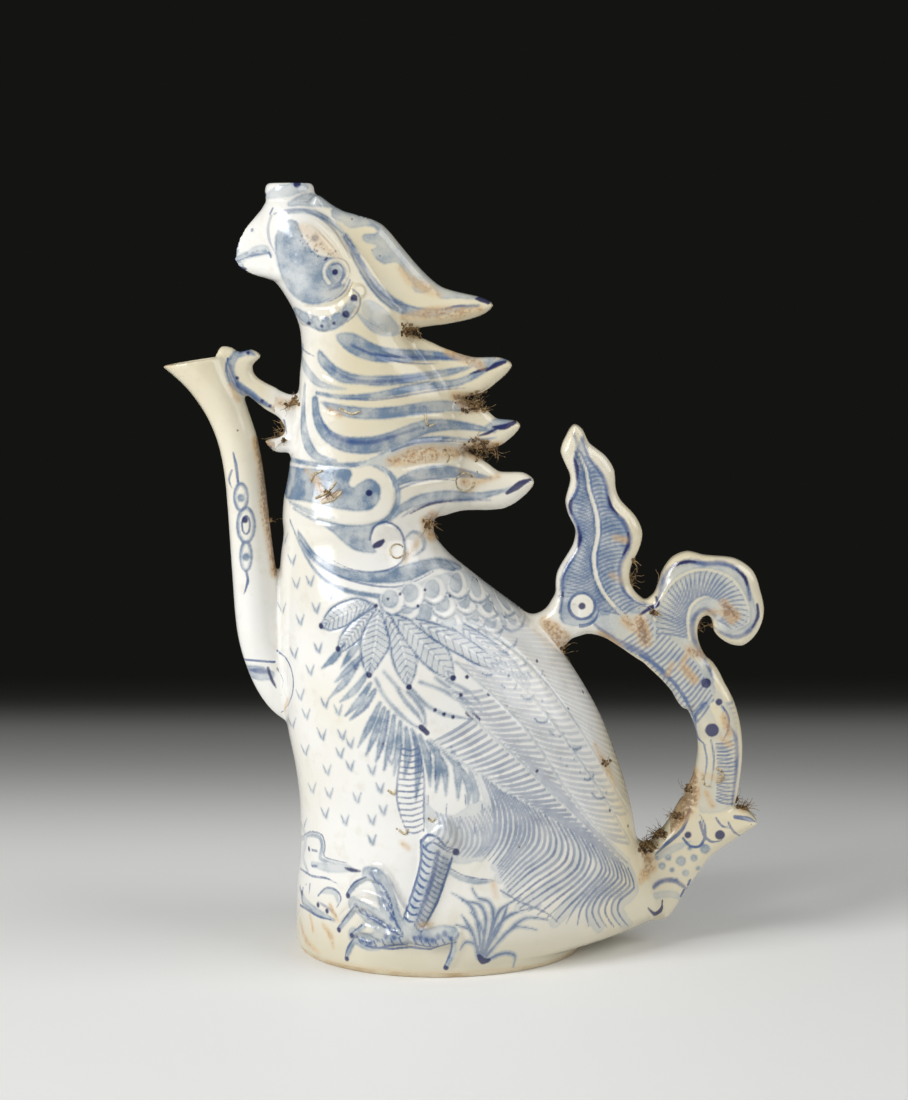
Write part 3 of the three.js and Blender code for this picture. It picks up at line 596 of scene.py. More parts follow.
# %% [markdown]
# ## One skin of clay
# Slip and glaze flow over the luted joints, so the real ewer has no sharp line where pieces meet. The
# forms are joined, the bores are cut, and a voxel remesh gives an even skin that can be smoothed,
# most of all in the joints, and later hold fine relief and painting.

# %% Bores
CAVITY_WALL = 0.0045
bores = bpy.data.collections.new("bores")
PASSAGE_START, PASSAGE_END = 0.15, head_top - 0.006
FILLER_RADIUS = 0.0045
passage_levels = np.linspace(PASSAGE_START, PASSAGE_END, 24)
passage_rings = [ring_at(level, CAVITY_WALL, 48) for level in passage_levels]
for up in (-3, 0, 3, 10):
    passage_rings.append(round_ring(collar_x, head_top + up * MM, FILLER_RADIUS))
filler_bore = loft("filler_bore", passage_rings)
spout_bore = loft("spout_bore", spout_rings(SPOUT_WALL, SPOUT_LIP_RISE)[:SPOUT_BORE_RINGS])
for piece in (filler_bore, spout_bore):
    forms.objects.unlink(piece)
    bores.objects.link(piece)
forms.objects.unlink(bird)

print("passage for the wine:", len(passage_rings), "rings")

# %% Join the forms and cut the bores
skin = bpy.data.objects.new("skin", bird.data)
bpy.context.scene.collection.objects.link(skin)


def add_boolean(piece, operation, operand):
    step = piece.modifiers.new(operation.lower(), "BOOLEAN")
    step.operation = operation
    step.solver = "MANIFOLD"
    if isinstance(operand, bpy.types.Collection):
        step.operand_type = "COLLECTION"
        step.collection = operand
    else:
        step.object = operand


def settle(piece):
    """Applies a piece's modifiers to its mesh."""
    graph = bpy.context.evaluated_depsgraph_get()
    mesh = bpy.data.meshes.new_from_object(piece.evaluated_get(graph))
    piece.modifiers.clear()
    piece.data = mesh
    return mesh


VOXEL = 0.00056
bpy.context.scene.collection.children.link(forms)
bpy.context.scene.collection.children.link(bores)
add_boolean(skin, "UNION", forms)
add_boolean(skin, "DIFFERENCE", bores)
settle(skin)
print("joined forms:", len(skin.data.polygons), "faces")
remesh = skin.modifiers.new("remesh", "REMESH")
remesh.mode = "VOXEL"
remesh.voxel_size = VOXEL
remesh.adaptivity = 0
settle(skin)
print("skin:", len(skin.data.polygons), "faces")

# %% [markdown]
# Three rounds of smoothing stand in for slip and glaze: a light one everywhere, a long one where
# pieces are luted together, which fills each joint with a soft fillet, and a last light one.

# %% Smooth the skin and fill the luted joints
LUTED_JOINTS = [
    ((-0.0515, 0, 0.110), 0.012), ((-0.0525, 0, 0.094), 0.012), ((-0.0525, 0, 0.080), 0.010),
    ((-0.047, 0, 0.183), 0.007), ((-0.047, 0, 0.170), 0.006), ((-0.064, 0, 0.189), 0.006),
    ((0.006, 0, 0.190), 0.009), ((0.010, 0, 0.173), 0.009), ((0.008, 0, 0.155), 0.011),
    ((-0.008, 0, 0.208), 0.009), ((-0.022, 0, 0.224), 0.010), ((-0.036, 0, 0.241), 0.008),
    ((0.033, 0, 0.108), 0.014), ((0.043, 0, 0.100), 0.009), ((0.066, 0, 0.040), 0.014),
    ((0.070, 0, 0.022), 0.014), ((0.068, 0, 0.112), 0.005), ((0.078, 0, 0.050), 0.005),
]


def corner_places(mesh):
    places = np.empty(len(mesh.vertices) * 3, dtype=np.float32)
    mesh.vertices.foreach_get("co", places)
    return places.reshape(-1, 3).astype(float)


def relax(piece, rounds, group=""):
    """Rounds of smoothing, for all of a piece or for one group of its corners."""
    step = piece.modifiers.new("relax", "SMOOTH")
    step.factor = 0.5
    step.iterations = rounds
    step.vertex_group = group
    return settle(piece)


ALL_OVER, AT_JOINTS, AT_LAST = 6, 34, 3
relax(skin, ALL_OVER)
places = corner_places(skin.data)
luted = np.zeros(len(places), dtype=bool)
for centre, radius in LUTED_JOINTS:
    luted |= ((places - np.array(centre)) ** 2).sum(axis=1) < radius ** 2
group = skin.vertex_groups.new(name="luted")
group.add(np.flatnonzero(luted).tolist(), 1.0, "REPLACE")
relax(skin, AT_JOINTS, "luted")
relax(skin, AT_LAST)
print("luted corners:", int(luted.sum()), "of", len(places))

# %% [markdown]
# ## Three sheets to paint on
# A brush works on a surface, so each painted place is named by sheet coordinates: the bird's flank
# with breast and back unrolled, the spout, and the tail. Both flanks share a sheet, because the
# painter gave them the same feathers. Regions cut from the side view say which sheet a place is on.

# %% Regions and sheets
SPOUT_PLANE, TAIL_PLANE, RUMP_PLANE = -0.0532, 0.036, 0.0775
SPOUT_REGION = [(SPOUT_PLANE, 0.066), (SPOUT_PLANE, 0.204), (-0.12, 0.204), (-0.12, 0.066)]
TAIL_JOINT = [(TAIL_PLANE, 0.121), (0.0465, 0.115), (0.0465, 0.09), (0.07, 0.075), (0.07, 0.056),
              (RUMP_PLANE, 0.052)]
TAIL_REGION = [(TAIL_PLANE, 0.3), *TAIL_JOINT, (RUMP_PLANE, -0.01), (0.13, -0.01), (0.13, 0.3)]
FOOT_CUT = 0.0016
NECK_CUT, HEAD_CUT = body_top, neck_top
BODY_REGION = [(SPOUT_PLANE, FOOT_CUT), (RUMP_PLANE, FOOT_CUT), *TAIL_JOINT[::-1],
               (TAIL_PLANE, NECK_CUT), (SPOUT_PLANE, NECK_CUT)]


def inside_outline(outline, places):
    corners = np.asarray(outline)
    x, z = places[:, 0], places[:, 1]
    within = np.zeros(len(places), dtype=bool)
    for (ax, az), (bx, bz) in zip(corners, np.roll(corners, -1, axis=0)):
        if az == bz:
            continue
        crosses = (az > z) != (bz > z)
        within ^= crosses & (x < (bx - ax) * (z - az) / (bz - az) + ax)
    return within


def sheet_of(places):
    side = places[:, [0, 2]]
    sheets = np.full(len(places), "bird", dtype="U5")
    sheets[inside_outline(SPOUT_REGION, side)] = "spout"
    sheets[inside_outline(TAIL_REGION, side)] = "tail"
    return sheets


def on_sheet(places, sheet):
    """Sheet coordinates in millimetres."""
    flat = unrolled(places) if sheet == "bird" else places[:, [0, 2]]
    return flat / MM


sheets = sheet_of(corner_places(skin.data))
print("corners on each sheet:", {name: int((sheets == name).sum()) for name in ("bird", "spout", "tail")})

# %% From a pixel to the clay
bpy.context.view_layer.update()


def touch(pixel):
    """The place on the left flank that the photographer's frame shows at a pixel."""
    across, down = pixel[0] - FRAME_WIDTH / 2, FRAME_HEIGHT / 2 - pixel[1]
    way = (lens_ahead * FOCAL_PIXELS + lens_right * across + lens_up * down).normalized()
    met, place, _, _ = skin.ray_cast(camera.location, way)
    if not met:
        place = camera.location - way * (camera.location.y / way.y)
    return place


print("the breast at mid height, mm:", [round(value / MM, 1) for value in touch((330, 700))])

# %% [markdown]
# ## Brush marks
# A mark is a line of given points with a width and tapered ends, or a closed area. Rungs and fans make the
# barbs of the feathers between two guide lines, so each is still one stroke of a brush.

# %% Marks
marks = {"bird": [], "spout": [], "tail": []}
FULL = (1.0, 1.0)
POINTED = (0.9, 0.15)
TAPER_SHARE = 0.4


def sheet_line(sheet, pixels):
    return on_sheet(np.array([touch(pixel) for pixel in pixels]), sheet)


def brush(sheet, layer, width, pixels, ends=FULL, tone=1.0):
    """One stroke of a given width in millimetres, tapered to shares of it at both ends."""
    line = sheet_line(sheet, smooth_line(pixels, 4) if len(pixels) > 2 else pixels)
    along = np.linspace(0, 1, len(line))
    taper = np.minimum(ends[0] + (1 - ends[0]) * np.clip(along / TAPER_SHARE, 0, 1),
                       ends[1] + (1 - ends[1]) * np.clip((1 - along) / TAPER_SHARE, 0, 1))
    marks[sheet].append((layer, line, width / 2 * taper, tone, False))


def dot(sheet, layer, radius, pixel, tone=1.0):
    """A round touch of the brush with a radius in millimetres."""
    centre = sheet_line(sheet, [pixel])
    marks[sheet].append((layer, np.repeat(centre, 2, axis=0), np.full(2, float(radius)), tone, False))


def ring(sheet, layer, width, centre, across, down, tone=1.0):
    """An oval line round a pixel, with its half sizes in pixels."""
    turns = np.linspace(0, 2 * math.pi, 21)
    pixels = [(centre[0] + across * math.cos(turn), centre[1] + down * math.sin(turn)) for turn in turns]
    brush(sheet, layer, width, pixels, tone=tone)


def area(sheet, layer, pixels, tone=1.0):
    """A closed outline that is filled."""
    outline = sheet_line(sheet, smooth_line(pixels, 3, closed=True))
    marks[sheet].append((layer, outline, None, tone, True))

# %% Barbs
def along_line(pixels, share):
    """The pixel at a share of the way along a smooth line."""
    line = smooth_line(pixels, 8)
    ways = np.concatenate([[0], np.cumsum(np.linalg.norm(np.diff(line, axis=0), axis=1))])
    return np.array([np.interp(share * ways[-1], ways, line[:, axis]) for axis in (0, 1)])


def rungs(sheet, layer, width, start_line, end_line, count, sag=2.0, ends=(0.8, 0.4), tone=1.0, lag=0.0):
    """Barbs from one guide line to another, each bowed by a few pixels."""
    for index in range(count):
        share = (index + 0.5) / count
        if not 0 <= share + lag <= 1:
            continue
        start = along_line(start_line, share)
        end = along_line(end_line, share + lag)
        middle = (start + end) / 2 + np.array([0, sag])
        brush(sheet, layer, width, [start, middle, end], ends, tone)


def fan(sheet, layer, width, guides, between, ends=(0.5, 0.4), tone=1.0):
    """Lines that turn smoothly from one guide line into the next."""
    guides = [np.array(guide, dtype=float) for guide in guides]
    for first, second in zip(guides, guides[1:]):
        for index in range(between):
            share = index / between
            brush(sheet, layer, width, list(first * (1 - share) + second * share), ends, tone)
    brush(sheet, layer, width, list(guides[-1]), ends, tone)


def paint_rows(sheet, rows):
    """Each row: layer, width, tone, ends, then the pixels of one stroke."""
    for layer, width, tone, ends, *pixels in rows:
        brush(sheet, layer, width, pixels, ends, tone)


def dots(sheet, layer, radius, *pixels, tone=1.0):
    for pixel in pixels:
        dot(sheet, layer, radius, pixel, tone)


def tally(part):
    """Tells how many marks there are when a part has been painted."""
    print(f"{part} painted: {sum(map(len, marks.values()))} marks so far")


def shifted(pixels, across, down):
    """The same line, moved by a few pixels."""
    return [(x + across, z + down) for x, z in pixels]

# %% [markdown]
# ## The painter's drawing
# The strokes are set down in the order of a porcelain painter: pale washes first, white places kept free of
# them, then outlines, and the darkest cobalt last in short accents. Every pixel pair is a place in the
# photographer's frame.
#
# The head carries a wash round the eye socket, a curl on the cheek, a toothed collar and the comb.

# %% Paint the head
FACE_WASH = [
    (283, 222), (296, 221), (303, 238), (318, 255), (335, 258), (345, 262), (347, 275), (344, 288),
    (335, 297), (318, 304), (303, 302), (290, 292), (281, 275), (276, 255), (276, 235)
]
area("bird", "wash", FACE_WASH, 0.72)
brush("bird", "deep", 1.3, [(330, 290), (340, 285), (346, 276), (346, 268)], (0.4, 0.4))
brush("bird", "keep", 1.0, [(286, 292), (298, 303), (312, 307), (328, 305), (340, 298)], POINTED)
COMB_WASHES = (
    (0.6, (333, 207), (352, 209), (375, 222), (390, 232), (402, 250), (414, 268), (430, 283), (428, 288),
     (418, 288), (404, 272), (396, 262), (384, 264), (374, 256), (372, 250), (378, 246), (368, 243),
     (363, 240), (364, 234), (372, 234), (378, 232), (372, 226), (350, 228), (342, 222), (332, 217)),
    (0.55, (412, 286), (422, 280), (433, 287), (428, 292), (416, 292)),
    (0.55, (436, 288), (448, 289), (458, 292), (480, 297), (470, 299), (455, 298), (440, 298)),
    (0.5, (365, 300), (380, 305), (392, 318), (400, 330), (388, 333), (372, 322), (362, 312)),
)
for tone, *outline in COMB_WASHES:
    area("bird", "wash", outline, tone)
HEAD_STROKES = (
    ("keep", 1.2, 1, FULL, (343, 283), (347, 276), (346, 266), (338, 260), (330, 262), (325, 268),
     (325, 277), (329, 283)),
    ("line", 0.5, 0.8, POINTED, (350, 280), (347, 288), (338, 297), (325, 303)),
    ("line", 0.4, 0.7, POINTED, (332, 265), (339, 264), (343, 270), (341, 280), (335, 285)),
    ("line", 0.5, 0.6, POINTED, (236, 262), (250, 256), (262, 254), (270, 253)),
    ("wash", 2.2, 0.7, POINTED, (236, 260), (250, 254), (262, 252), (270, 253)),
    ("line", 0.5, 0.8, FULL, (269, 252), (271, 257)),
    ("line", 0.4, 0.8, FULL, (270, 214), (273, 208)),
    ("line", 0.7, 0.45, POINTED, (274, 214), (288, 210), (304, 210), (322, 219), (337, 234), (350, 258)),
    ("line", 0.8, 0.4, POINTED, (271, 216), (268, 228), (270, 242), (276, 254)),
    ("wash", 1.8, 0.4, POINTED, (242, 260), (254, 250), (266, 248), (272, 256)),
    ("wash", 3.0, 0.5, (0.5, 0.3), (372, 221), (388, 234), (402, 252), (418, 273), (440, 290), (462, 295)),
    ("wash", 4.6, 0.7, (0.5, 0.6), (296, 311), (311, 321), (327, 324), (342, 317), (353, 302)),
    ("keep", 1.7, 1, (1, 0.3), (307, 308), (311, 318)),
    ("keep", 1.7, 1, (1, 0.3), (317, 311), (321, 321)),
    ("keep", 1.7, 1, (1, 0.3), (327, 310), (331, 319)),
    ("keep", 1.7, 1, (1, 0.3), (337, 305), (342, 313)),
    ("keep", 1.5, 1, (1, 0.3), (345, 297), (350, 303)),
    ("ink", 1.3, 0.9, (1, 0.4), (235, 264), (239, 268), (246, 269)),
    ("wash", 4.0, 0.7, (0.6, 0.3), (235, 258), (237, 266), (244, 270)),
    ("wash", 2.0, 0.6, (0.3, 0.5), (238, 242), (235, 252), (234, 262)),
    ("wash", 4.2, 0.6, (0.4, 0.3), (290, 204), (304, 200), (318, 201), (332, 206)),
    ("wash", 4.0, 0.5, (0.5, 0.3), (268, 196), (278, 192), (292, 190), (304, 190)),
    ("wash", 2.0, 0.6, (0.5, 0.5), (292, 184), (300, 183), (307, 187)),
    ("wash", 1.6, 0.75, (0.6, 0.3), (289, 212), (305, 211), (320, 215), (335, 225), (345, 236)),
    ("wash", 3.4, 0.75, (0.5, 0.25), (345, 236), (353, 250), (362, 268), (372, 283), (386, 298), (400, 307),
     (417, 312), (440, 312), (460, 308), (478, 306)),
    ("deep", 0.8, 0.8, POINTED, (345, 237), (357, 256), (368, 276), (382, 294), (400, 304), (420, 309)),
    ("line", 0.6, 0.9, POINTED, (445, 309), (458, 306), (472, 306)),
    ("ink", 1.8, 1, (0.3, 0.8), (476, 299), (482, 299), (488, 302)),
    ("line", 0.5, 0.7, POINTED, (352, 289), (359, 295), (360, 305), (354, 316), (344, 324)),
)
paint_rows("bird", HEAD_STROKES)
dots("bird", "wash", 2.0, (335, 272), tone=0.8)
dots("bird", "ink", 0.9, (335, 272), (264, 195))
dots("bird", "line", 0.5, (252, 230), tone=0.7)
dots("bird", "ink", 1.1, (346, 314), (354, 298), (297, 184))
dots("bird", "ink", 0.55, (322, 326), (334, 323), (309, 323))
SOCKET_SPECKS, COMB_SPECKS = 26, 14
for step in range(SOCKET_SPECKS):
    share = step / (SOCKET_SPECKS - 1)
    dot("bird", "ink", 0.26 if step % 3 == 0 else 0.14,
        (302 + 33 * share + 3 * math.sin(5 * step), 236 + 22 * share + 6 * math.sin(7 * step)))
dots("bird", "wash", 1.0, (315, 238), tone=0.8)
for step in range(COMB_SPECKS):
    share = step / (COMB_SPECKS - 1)
    dot("bird", "ink", 0.6 if step % 3 == 1 else 0.3,
        (334 + 33 * share, 201 + 15 * share + 2 * math.sin(9 * step)))
dots("bird", "ink", 0.2, (336, 205), (344, 210), (358, 214), (368, 218), (352, 219), (305, 248), (311, 252),
     (318, 256), (325, 260), (372, 250), (380, 256))
tally("head")

# %% [markdown]
# The neck is wrapped in flowing manes of wash that run out into the plumes, with white between.

# %% Paint the neck and its plumes
MANE_WASHES = (
    (0.8, (336, 335), (352, 333), (363, 338), (379, 346), (398, 349), (421, 350), (440, 352), (470, 356),
     (495, 358), (470, 361), (440, 360), (417, 361), (394, 362), (371, 361), (354, 355), (342, 346)),
    (0.8, (319, 350), (329, 360), (340, 369), (358, 375), (379, 376), (402, 375), (425, 372), (448, 369),
     (474, 366), (448, 376), (425, 380), (402, 384), (379, 386), (358, 384), (340, 382), (327, 372),
     (318, 361)),
    (0.8, (321, 402), (348, 406), (379, 408), (406, 405), (433, 401), (458, 402), (480, 411), (456, 411),
     (433, 413), (410, 416), (379, 419), (352, 418), (333, 412)),
    (0.85, (286, 466), (300, 468), (325, 469), (350, 470), (353, 479), (356, 485), (360, 483), (367, 479),
     (375, 481), (380, 488), (379, 500), (373, 508), (362, 511), (348, 510), (329, 507), (310, 502),
     (298, 500), (286, 498)),
    (0.55, (308, 464), (330, 468), (352, 467), (366, 461), (386, 451), (405, 444), (425, 440), (450, 443),
     (474, 447), (460, 453), (430, 448), (405, 455), (392, 466), (380, 468)),
)
for tone, *outline in MANE_WASHES:
    area("bird", "wash", outline, tone)
MANE_STROKES = (
    ("wash", 2.6, 0.6, (0.3, 0.2), (358, 314), (372, 327), (388, 333), (402, 333)),
    ("wash", 3.0, 0.55, (0.4, 0.2), (303, 345), (302, 358), (308, 372), (320, 384), (345, 389)),
    ("wash", 2.4, 0.8, (0.4, 0.5), (317, 393), (340, 397), (371, 396), (394, 392), (425, 386), (456, 383),
     (475, 375), (494, 364), (506, 359)),
    ("wash", 5.2, 0.8, (0.5, 0.2), (315, 400), (317, 418), (326, 434), (345, 444), (372, 445), (398, 438),
     (425, 427), (448, 425), (471, 427), (494, 431)),
    ("wash", 3.8, 0.72, (0.3, 0.2), (305, 385), (303, 415), (306, 440), (316, 456), (336, 461)),
    ("wash", 1.5, 0.8, POINTED, (286, 458), (300, 462), (325, 465), (352, 465), (371, 462), (390, 450),
     (417, 440), (448, 438), (475, 440), (496, 438)),
    ("wash", 4.2, 0.75, (0.4, 0.2), (394, 485), (410, 477), (435, 472), (460, 473), (490, 478)),
    ("wash", 3.8, 0.7, (0.3, 0.2), (390, 520), (402, 508), (425, 499), (450, 496), (480, 496), (512, 488)),
    ("wash", 3.8, 0.7, (0.3, 0.3), (470, 364), (482, 362), (494, 358)),
    ("wash", 3.6, 0.7, (0.3, 0.3), (486, 428), (498, 424), (510, 420)),
    ("deep", 1.2, 0.8, (0.2, 0.2), (350, 344), (372, 354), (400, 357), (430, 357), (460, 359)),
    ("deep", 1.2, 0.8, (0.2, 0.2), (328, 366), (350, 379), (380, 382), (412, 378), (445, 372)),
    ("deep", 1.6, 0.8, (0.2, 0.2), (319, 414), (328, 431), (347, 441), (372, 442), (400, 434), (430, 425)),
    ("deep", 1.1, 0.8, (0.2, 0.3), (402, 517), (415, 509), (435, 502), (460, 500), (490, 500)),
    ("keep", 2.8, 1, FULL, (353, 483), (358, 474), (368, 470), (380, 473), (387, 482), (390, 495),
     (388, 508), (380, 516), (365, 521), (345, 520), (325, 515), (302, 505)),
    ("wash", 1.7, 0.75, POINTED, (375, 465), (388, 472), (396, 484), (398, 498), (394, 511), (385, 521),
     (368, 527), (348, 527), (328, 524), (306, 516), (293, 508)),
    ("line", 0.6, 0.6, POINTED, (400, 489), (415, 483), (435, 479), (458, 481)),
    ("line", 0.6, 0.6, POINTED, (352, 346), (380, 357), (410, 363), (440, 364)),
    ("line", 0.6, 0.6, POINTED, (340, 398), (372, 400), (404, 396), (440, 390), (466, 388)),
    ("line", 0.6, 0.6, POINTED, (300, 345), (306, 352), (316, 357)),
    ("line", 0.6, 0.7, POINTED, (392, 451), (415, 443), (444, 441), (474, 443)),
    ("ink", 1.5, 1, (0.3, 0.6), (486, 371), (496, 365), (505, 362)),
    ("ink", 1.7, 1, (0.4, 0.6), (493, 427), (504, 427), (515, 422)),
    ("ink", 2.1, 1, (0.5, 0.4), (507, 493), (515, 488), (522, 483), (530, 480)),
    ("ink", 0.9, 1, (0.2, 0.5), (470, 374), (482, 370), (490, 368)),
    ("ink", 0.9, 1, (0.2, 0.5), (478, 436), (488, 433), (496, 429)),
    ("ink", 0.7, 1, (0.2, 0.5), (410, 514), (430, 504), (452, 501)),
)
paint_rows("bird", MANE_STROKES)
dots("bird", "wash", 2.4, (369, 493), tone=0.9)
dots("bird", "ink", 1.0, (369, 493))
tally("neck and plumes")

# %% [markdown]
# A mantle of curls lies over the shoulder, then rows of round scales, then the small feathers.

# %% Paint the mantle and the scales
MANTLE_WASHES = (
    (0.75, (316, 519), (340, 524), (366, 525), (385, 520), (390, 523), (378, 526), (372, 535), (372, 545),
     (376, 552), (362, 552), (348, 546), (334, 533)),
    (0.8, (298, 530), (312, 550), (330, 563), (350, 570), (375, 572), (398, 567), (415, 562), (435, 558),
     (450, 560), (462, 568), (455, 572), (440, 568), (428, 572), (412, 580), (385, 583), (355, 581),
     (330, 573), (312, 560), (300, 545)),
)
for tone, *outline in MANTLE_WASHES:
    area("bird", "wash", outline, tone)
MANTLE_STROKES = (
    ("keep", 1.6, 1, FULL, (372, 538), (376, 530), (386, 526), (396, 532), (401, 545), (400, 557),
     (392, 563), (375, 567), (352, 565), (326, 551)),
    ("line", 0.6, 0.8, POINTED, (370, 540), (374, 527), (386, 522), (399, 529), (405, 545), (403, 560),
     (393, 568), (374, 572), (350, 569), (325, 556)),
    ("wash", 1.6, 0.6, (0.4, 0.3), (290, 502), (310, 512), (334, 518)),
    ("wash", 1.3, 0.8, (0.3, 0.3), (290, 520), (300, 545), (310, 563), (325, 580), (345, 590), (370, 595),
     (395, 597), (420, 592), (432, 583), (445, 578), (460, 577)),
    ("wash", 1.1, 0.7, (0.3, 0.3), (404, 540), (412, 532), (422, 536), (424, 548), (414, 556)),
    ("wash", 2.2, 0.6, (0.4, 0.3), (426, 516), (444, 528), (452, 545), (462, 560)),
    ("wash", 0.9, 0.6, POINTED, (288, 490), (290, 505)),
    ("line", 0.5, 0.7, POINTED, (300, 540), (315, 560), (335, 574), (360, 583), (395, 587), (418, 580),
     (434, 571)),
    ("ink", 1.9, 1, (0.8, 0.6), (375, 546), (379, 544), (383, 541)),
)
paint_rows("bird", MANTLE_STROKES)
SCALES = ((512, 618), (492, 622), (451, 627), (474, 618), (426, 616), (488, 606), (466, 602), (444, 606),
          (408, 608), (505, 604), (478, 590), (458, 586), (434, 592), (412, 596), (392, 602))
SCALE_GROUND = [
    (384, 592), (410, 586), (436, 576), (462, 570), (484, 580), (508, 598), (522, 616), (500, 626),
    (474, 622), (440, 620), (404, 612), (384, 604)
]
area("bird", "wash", SCALE_GROUND, 0.45)
SCALE_EDGE = ((-13, -3), (-10, 7), (0, 13), (10, 8), (13, -4))
for x, z in SCALES:
    dot("bird", "keep", 4.2, (x, z))
    dot("bird", "wash", 2.7, (x - 2, z - 3), 0.6)
    brush("bird", "wash", 0.6, shifted(SCALE_EDGE, x, z), POINTED, 0.75)
dots("bird", "ink", 0.4, (388, 599), (400, 594), (425, 590), (418, 606), (477, 580), (450, 596))
tally("mantle and scales")

# %% [markdown]
# The wing starts with a star of small feathers at the shoulder, then coverts, and long ladders of
# barbs that are each a short rising stroke. Grass-like tips hang over the breast.

# %% Paint the coverts
COVERTS = (
    ([(374, 605), (360, 599), (347, 601), (330, 610), (320, 626)],
     [(374, 607), (360, 615), (347, 625), (330, 630), (321, 627)]),
    ([(374, 608), (363, 615), (350, 625), (340, 638), (338, 652)],
     [(376, 610), (368, 624), (360, 638), (350, 647), (339, 653)]),
    ([(376, 610), (363, 632), (361, 650), (364, 667), (369, 677)],
     [(379, 611), (388, 627), (390, 643), (383, 657), (370, 677)]),
    ([(382, 613), (389, 637), (393, 660), (400, 677), (409, 688)],
     [(386, 613), (400, 622), (412, 640), (417, 662), (410, 688)]),
    ([(392, 618), (405, 640), (421, 660), (438, 674), (454, 680)],
     [(396, 615), (417, 624), (436, 638), (449, 653), (455, 679)]),
    ([(412, 622), (436, 641), (462, 656), (486, 669), (510, 677)],
     [(416, 619), (441, 626), (467, 637), (490, 651), (511, 676)]),
    ([(452, 628), (478, 646), (505, 668), (527, 690)], [(464, 624), (490, 640), (513, 660), (531, 684)]),
)
CREAM_FEATHERS = (
    ([(376, 679), (383, 694), (398, 712), (412, 724), (425, 731)],
     [(384, 672), (398, 688), (412, 706), (421, 718), (426, 730)]),
    ([(398, 690), (406, 702), (417, 714), (425, 728)], [(408, 692), (418, 703), (424, 714), (426, 727)]),
    ([(412, 690), (422, 701), (438, 712), (458, 717), (477, 720)],
     [(420, 682), (440, 689), (458, 699), (471, 709), (478, 718)]),
    ([(436, 678), (452, 690), (468, 702), (482, 712)], [(446, 680), (462, 688), (476, 698), (484, 710)]),
)
for left, right in COVERTS:
    outline = left + right[::-1]
    area("bird", "keep", outline)
    area("bird", "wash", outline, 0.42)
    brush("bird", "keep", 0.7, [tuple(along_line(left, share) * 0.5 + along_line(right, share) * 0.5)
                                for share in (0.08, 0.5, 0.9)], POINTED)
    for share in (0.16, 0.24, 0.32, 0.4, 0.48, 0.56, 0.64, 0.72, 0.8, 0.88, 0.95):
        spine = along_line(left, share - 0.1) * 0.5 + along_line(right, share - 0.1) * 0.5
        for edge in (left, right):
            brush("bird", "line", 0.45, [tuple(spine), tuple(along_line(edge, share))], (0.7, 0.4), 0.6)
    for edge in (left, right):
        brush("bird", "wash", 0.9, edge, POINTED, 0.8)
        brush("bird", "line", 0.4, edge, POINTED, 0.4)
for left, right in CREAM_FEATHERS:
    area("bird", "keep", left + right[::-1])
    for edge in (left, right):
        brush("bird", "wash", 1.4, edge, POINTED, 0.55)
        brush("bird", "line", 0.35, edge, POINTED, 0.4)
dots("bird", "ink", 0.9, (321, 626), (338, 649), (369, 675), (409, 687), (453, 678))
brush("bird", "ink", 1.6, [(421, 727), (427, 733)])
brush("bird", "ink", 1.7, [(468, 713), (473, 716), (478, 720)])
dots("bird", "ink", 0.6, (435, 710), (444, 714), (453, 717), (467, 677), (376, 606), (489, 694), (506, 707),
     (461, 695))
dots("bird", "ink", 0.5, (537, 661), (509, 675), (583, 692), (568, 709), (460, 763), (477, 773), (537, 771),
     (610, 810), (615, 815), (628, 826))
tally("coverts")

# %% Paint the grass tips
GRASS_TIPS = (
    [(362, 655), (350, 668), (335, 682)], [(368, 672), (355, 690), (340, 702)],
    [(375, 690), (365, 705), (350, 720)], [(380, 703), (370, 725), (358, 747)],
    [(388, 712), (382, 740), (376, 762)], [(400, 722), (398, 750), (394, 775)],
    [(412, 730), (418, 750), (418, 775), (416, 800)], [(437, 745), (438, 768), (436, 792)],
    [(452, 748), (458, 775), (458, 800)], [(470, 770), (476, 795), (474, 812)],
    [(344, 645), (334, 658), (322, 668)], [(358, 664), (345, 682), (330, 697)],
    [(370, 684), (360, 700), (345, 716)], [(384, 708), (376, 732), (366, 755)],
    [(394, 716), (390, 745), (384, 770)], [(406, 728), (408, 752), (404, 778)],
    [(420, 736), (428, 760), (430, 786)], [(428, 742), (444, 768), (446, 796)],
    [(444, 752), (468, 782), (468, 806)], [(362, 640), (352, 652), (341, 668)])
for tip in GRASS_TIPS:
    brush("bird", "wash", 2.3, tip, (0.5, 0.15), 0.8)
TIP_SHADES = (
    [(364, 657), (352, 669), (338, 681)], [(376, 693), (366, 707), (352, 720)],
    [(389, 715), (384, 740), (378, 760)], [(413, 733), (418, 752), (418, 778)])
for shade in TIP_SHADES:
    brush("bird", "deep", 0.7, shade, (0.3, 0.1), 0.8)
tally("grass tips")

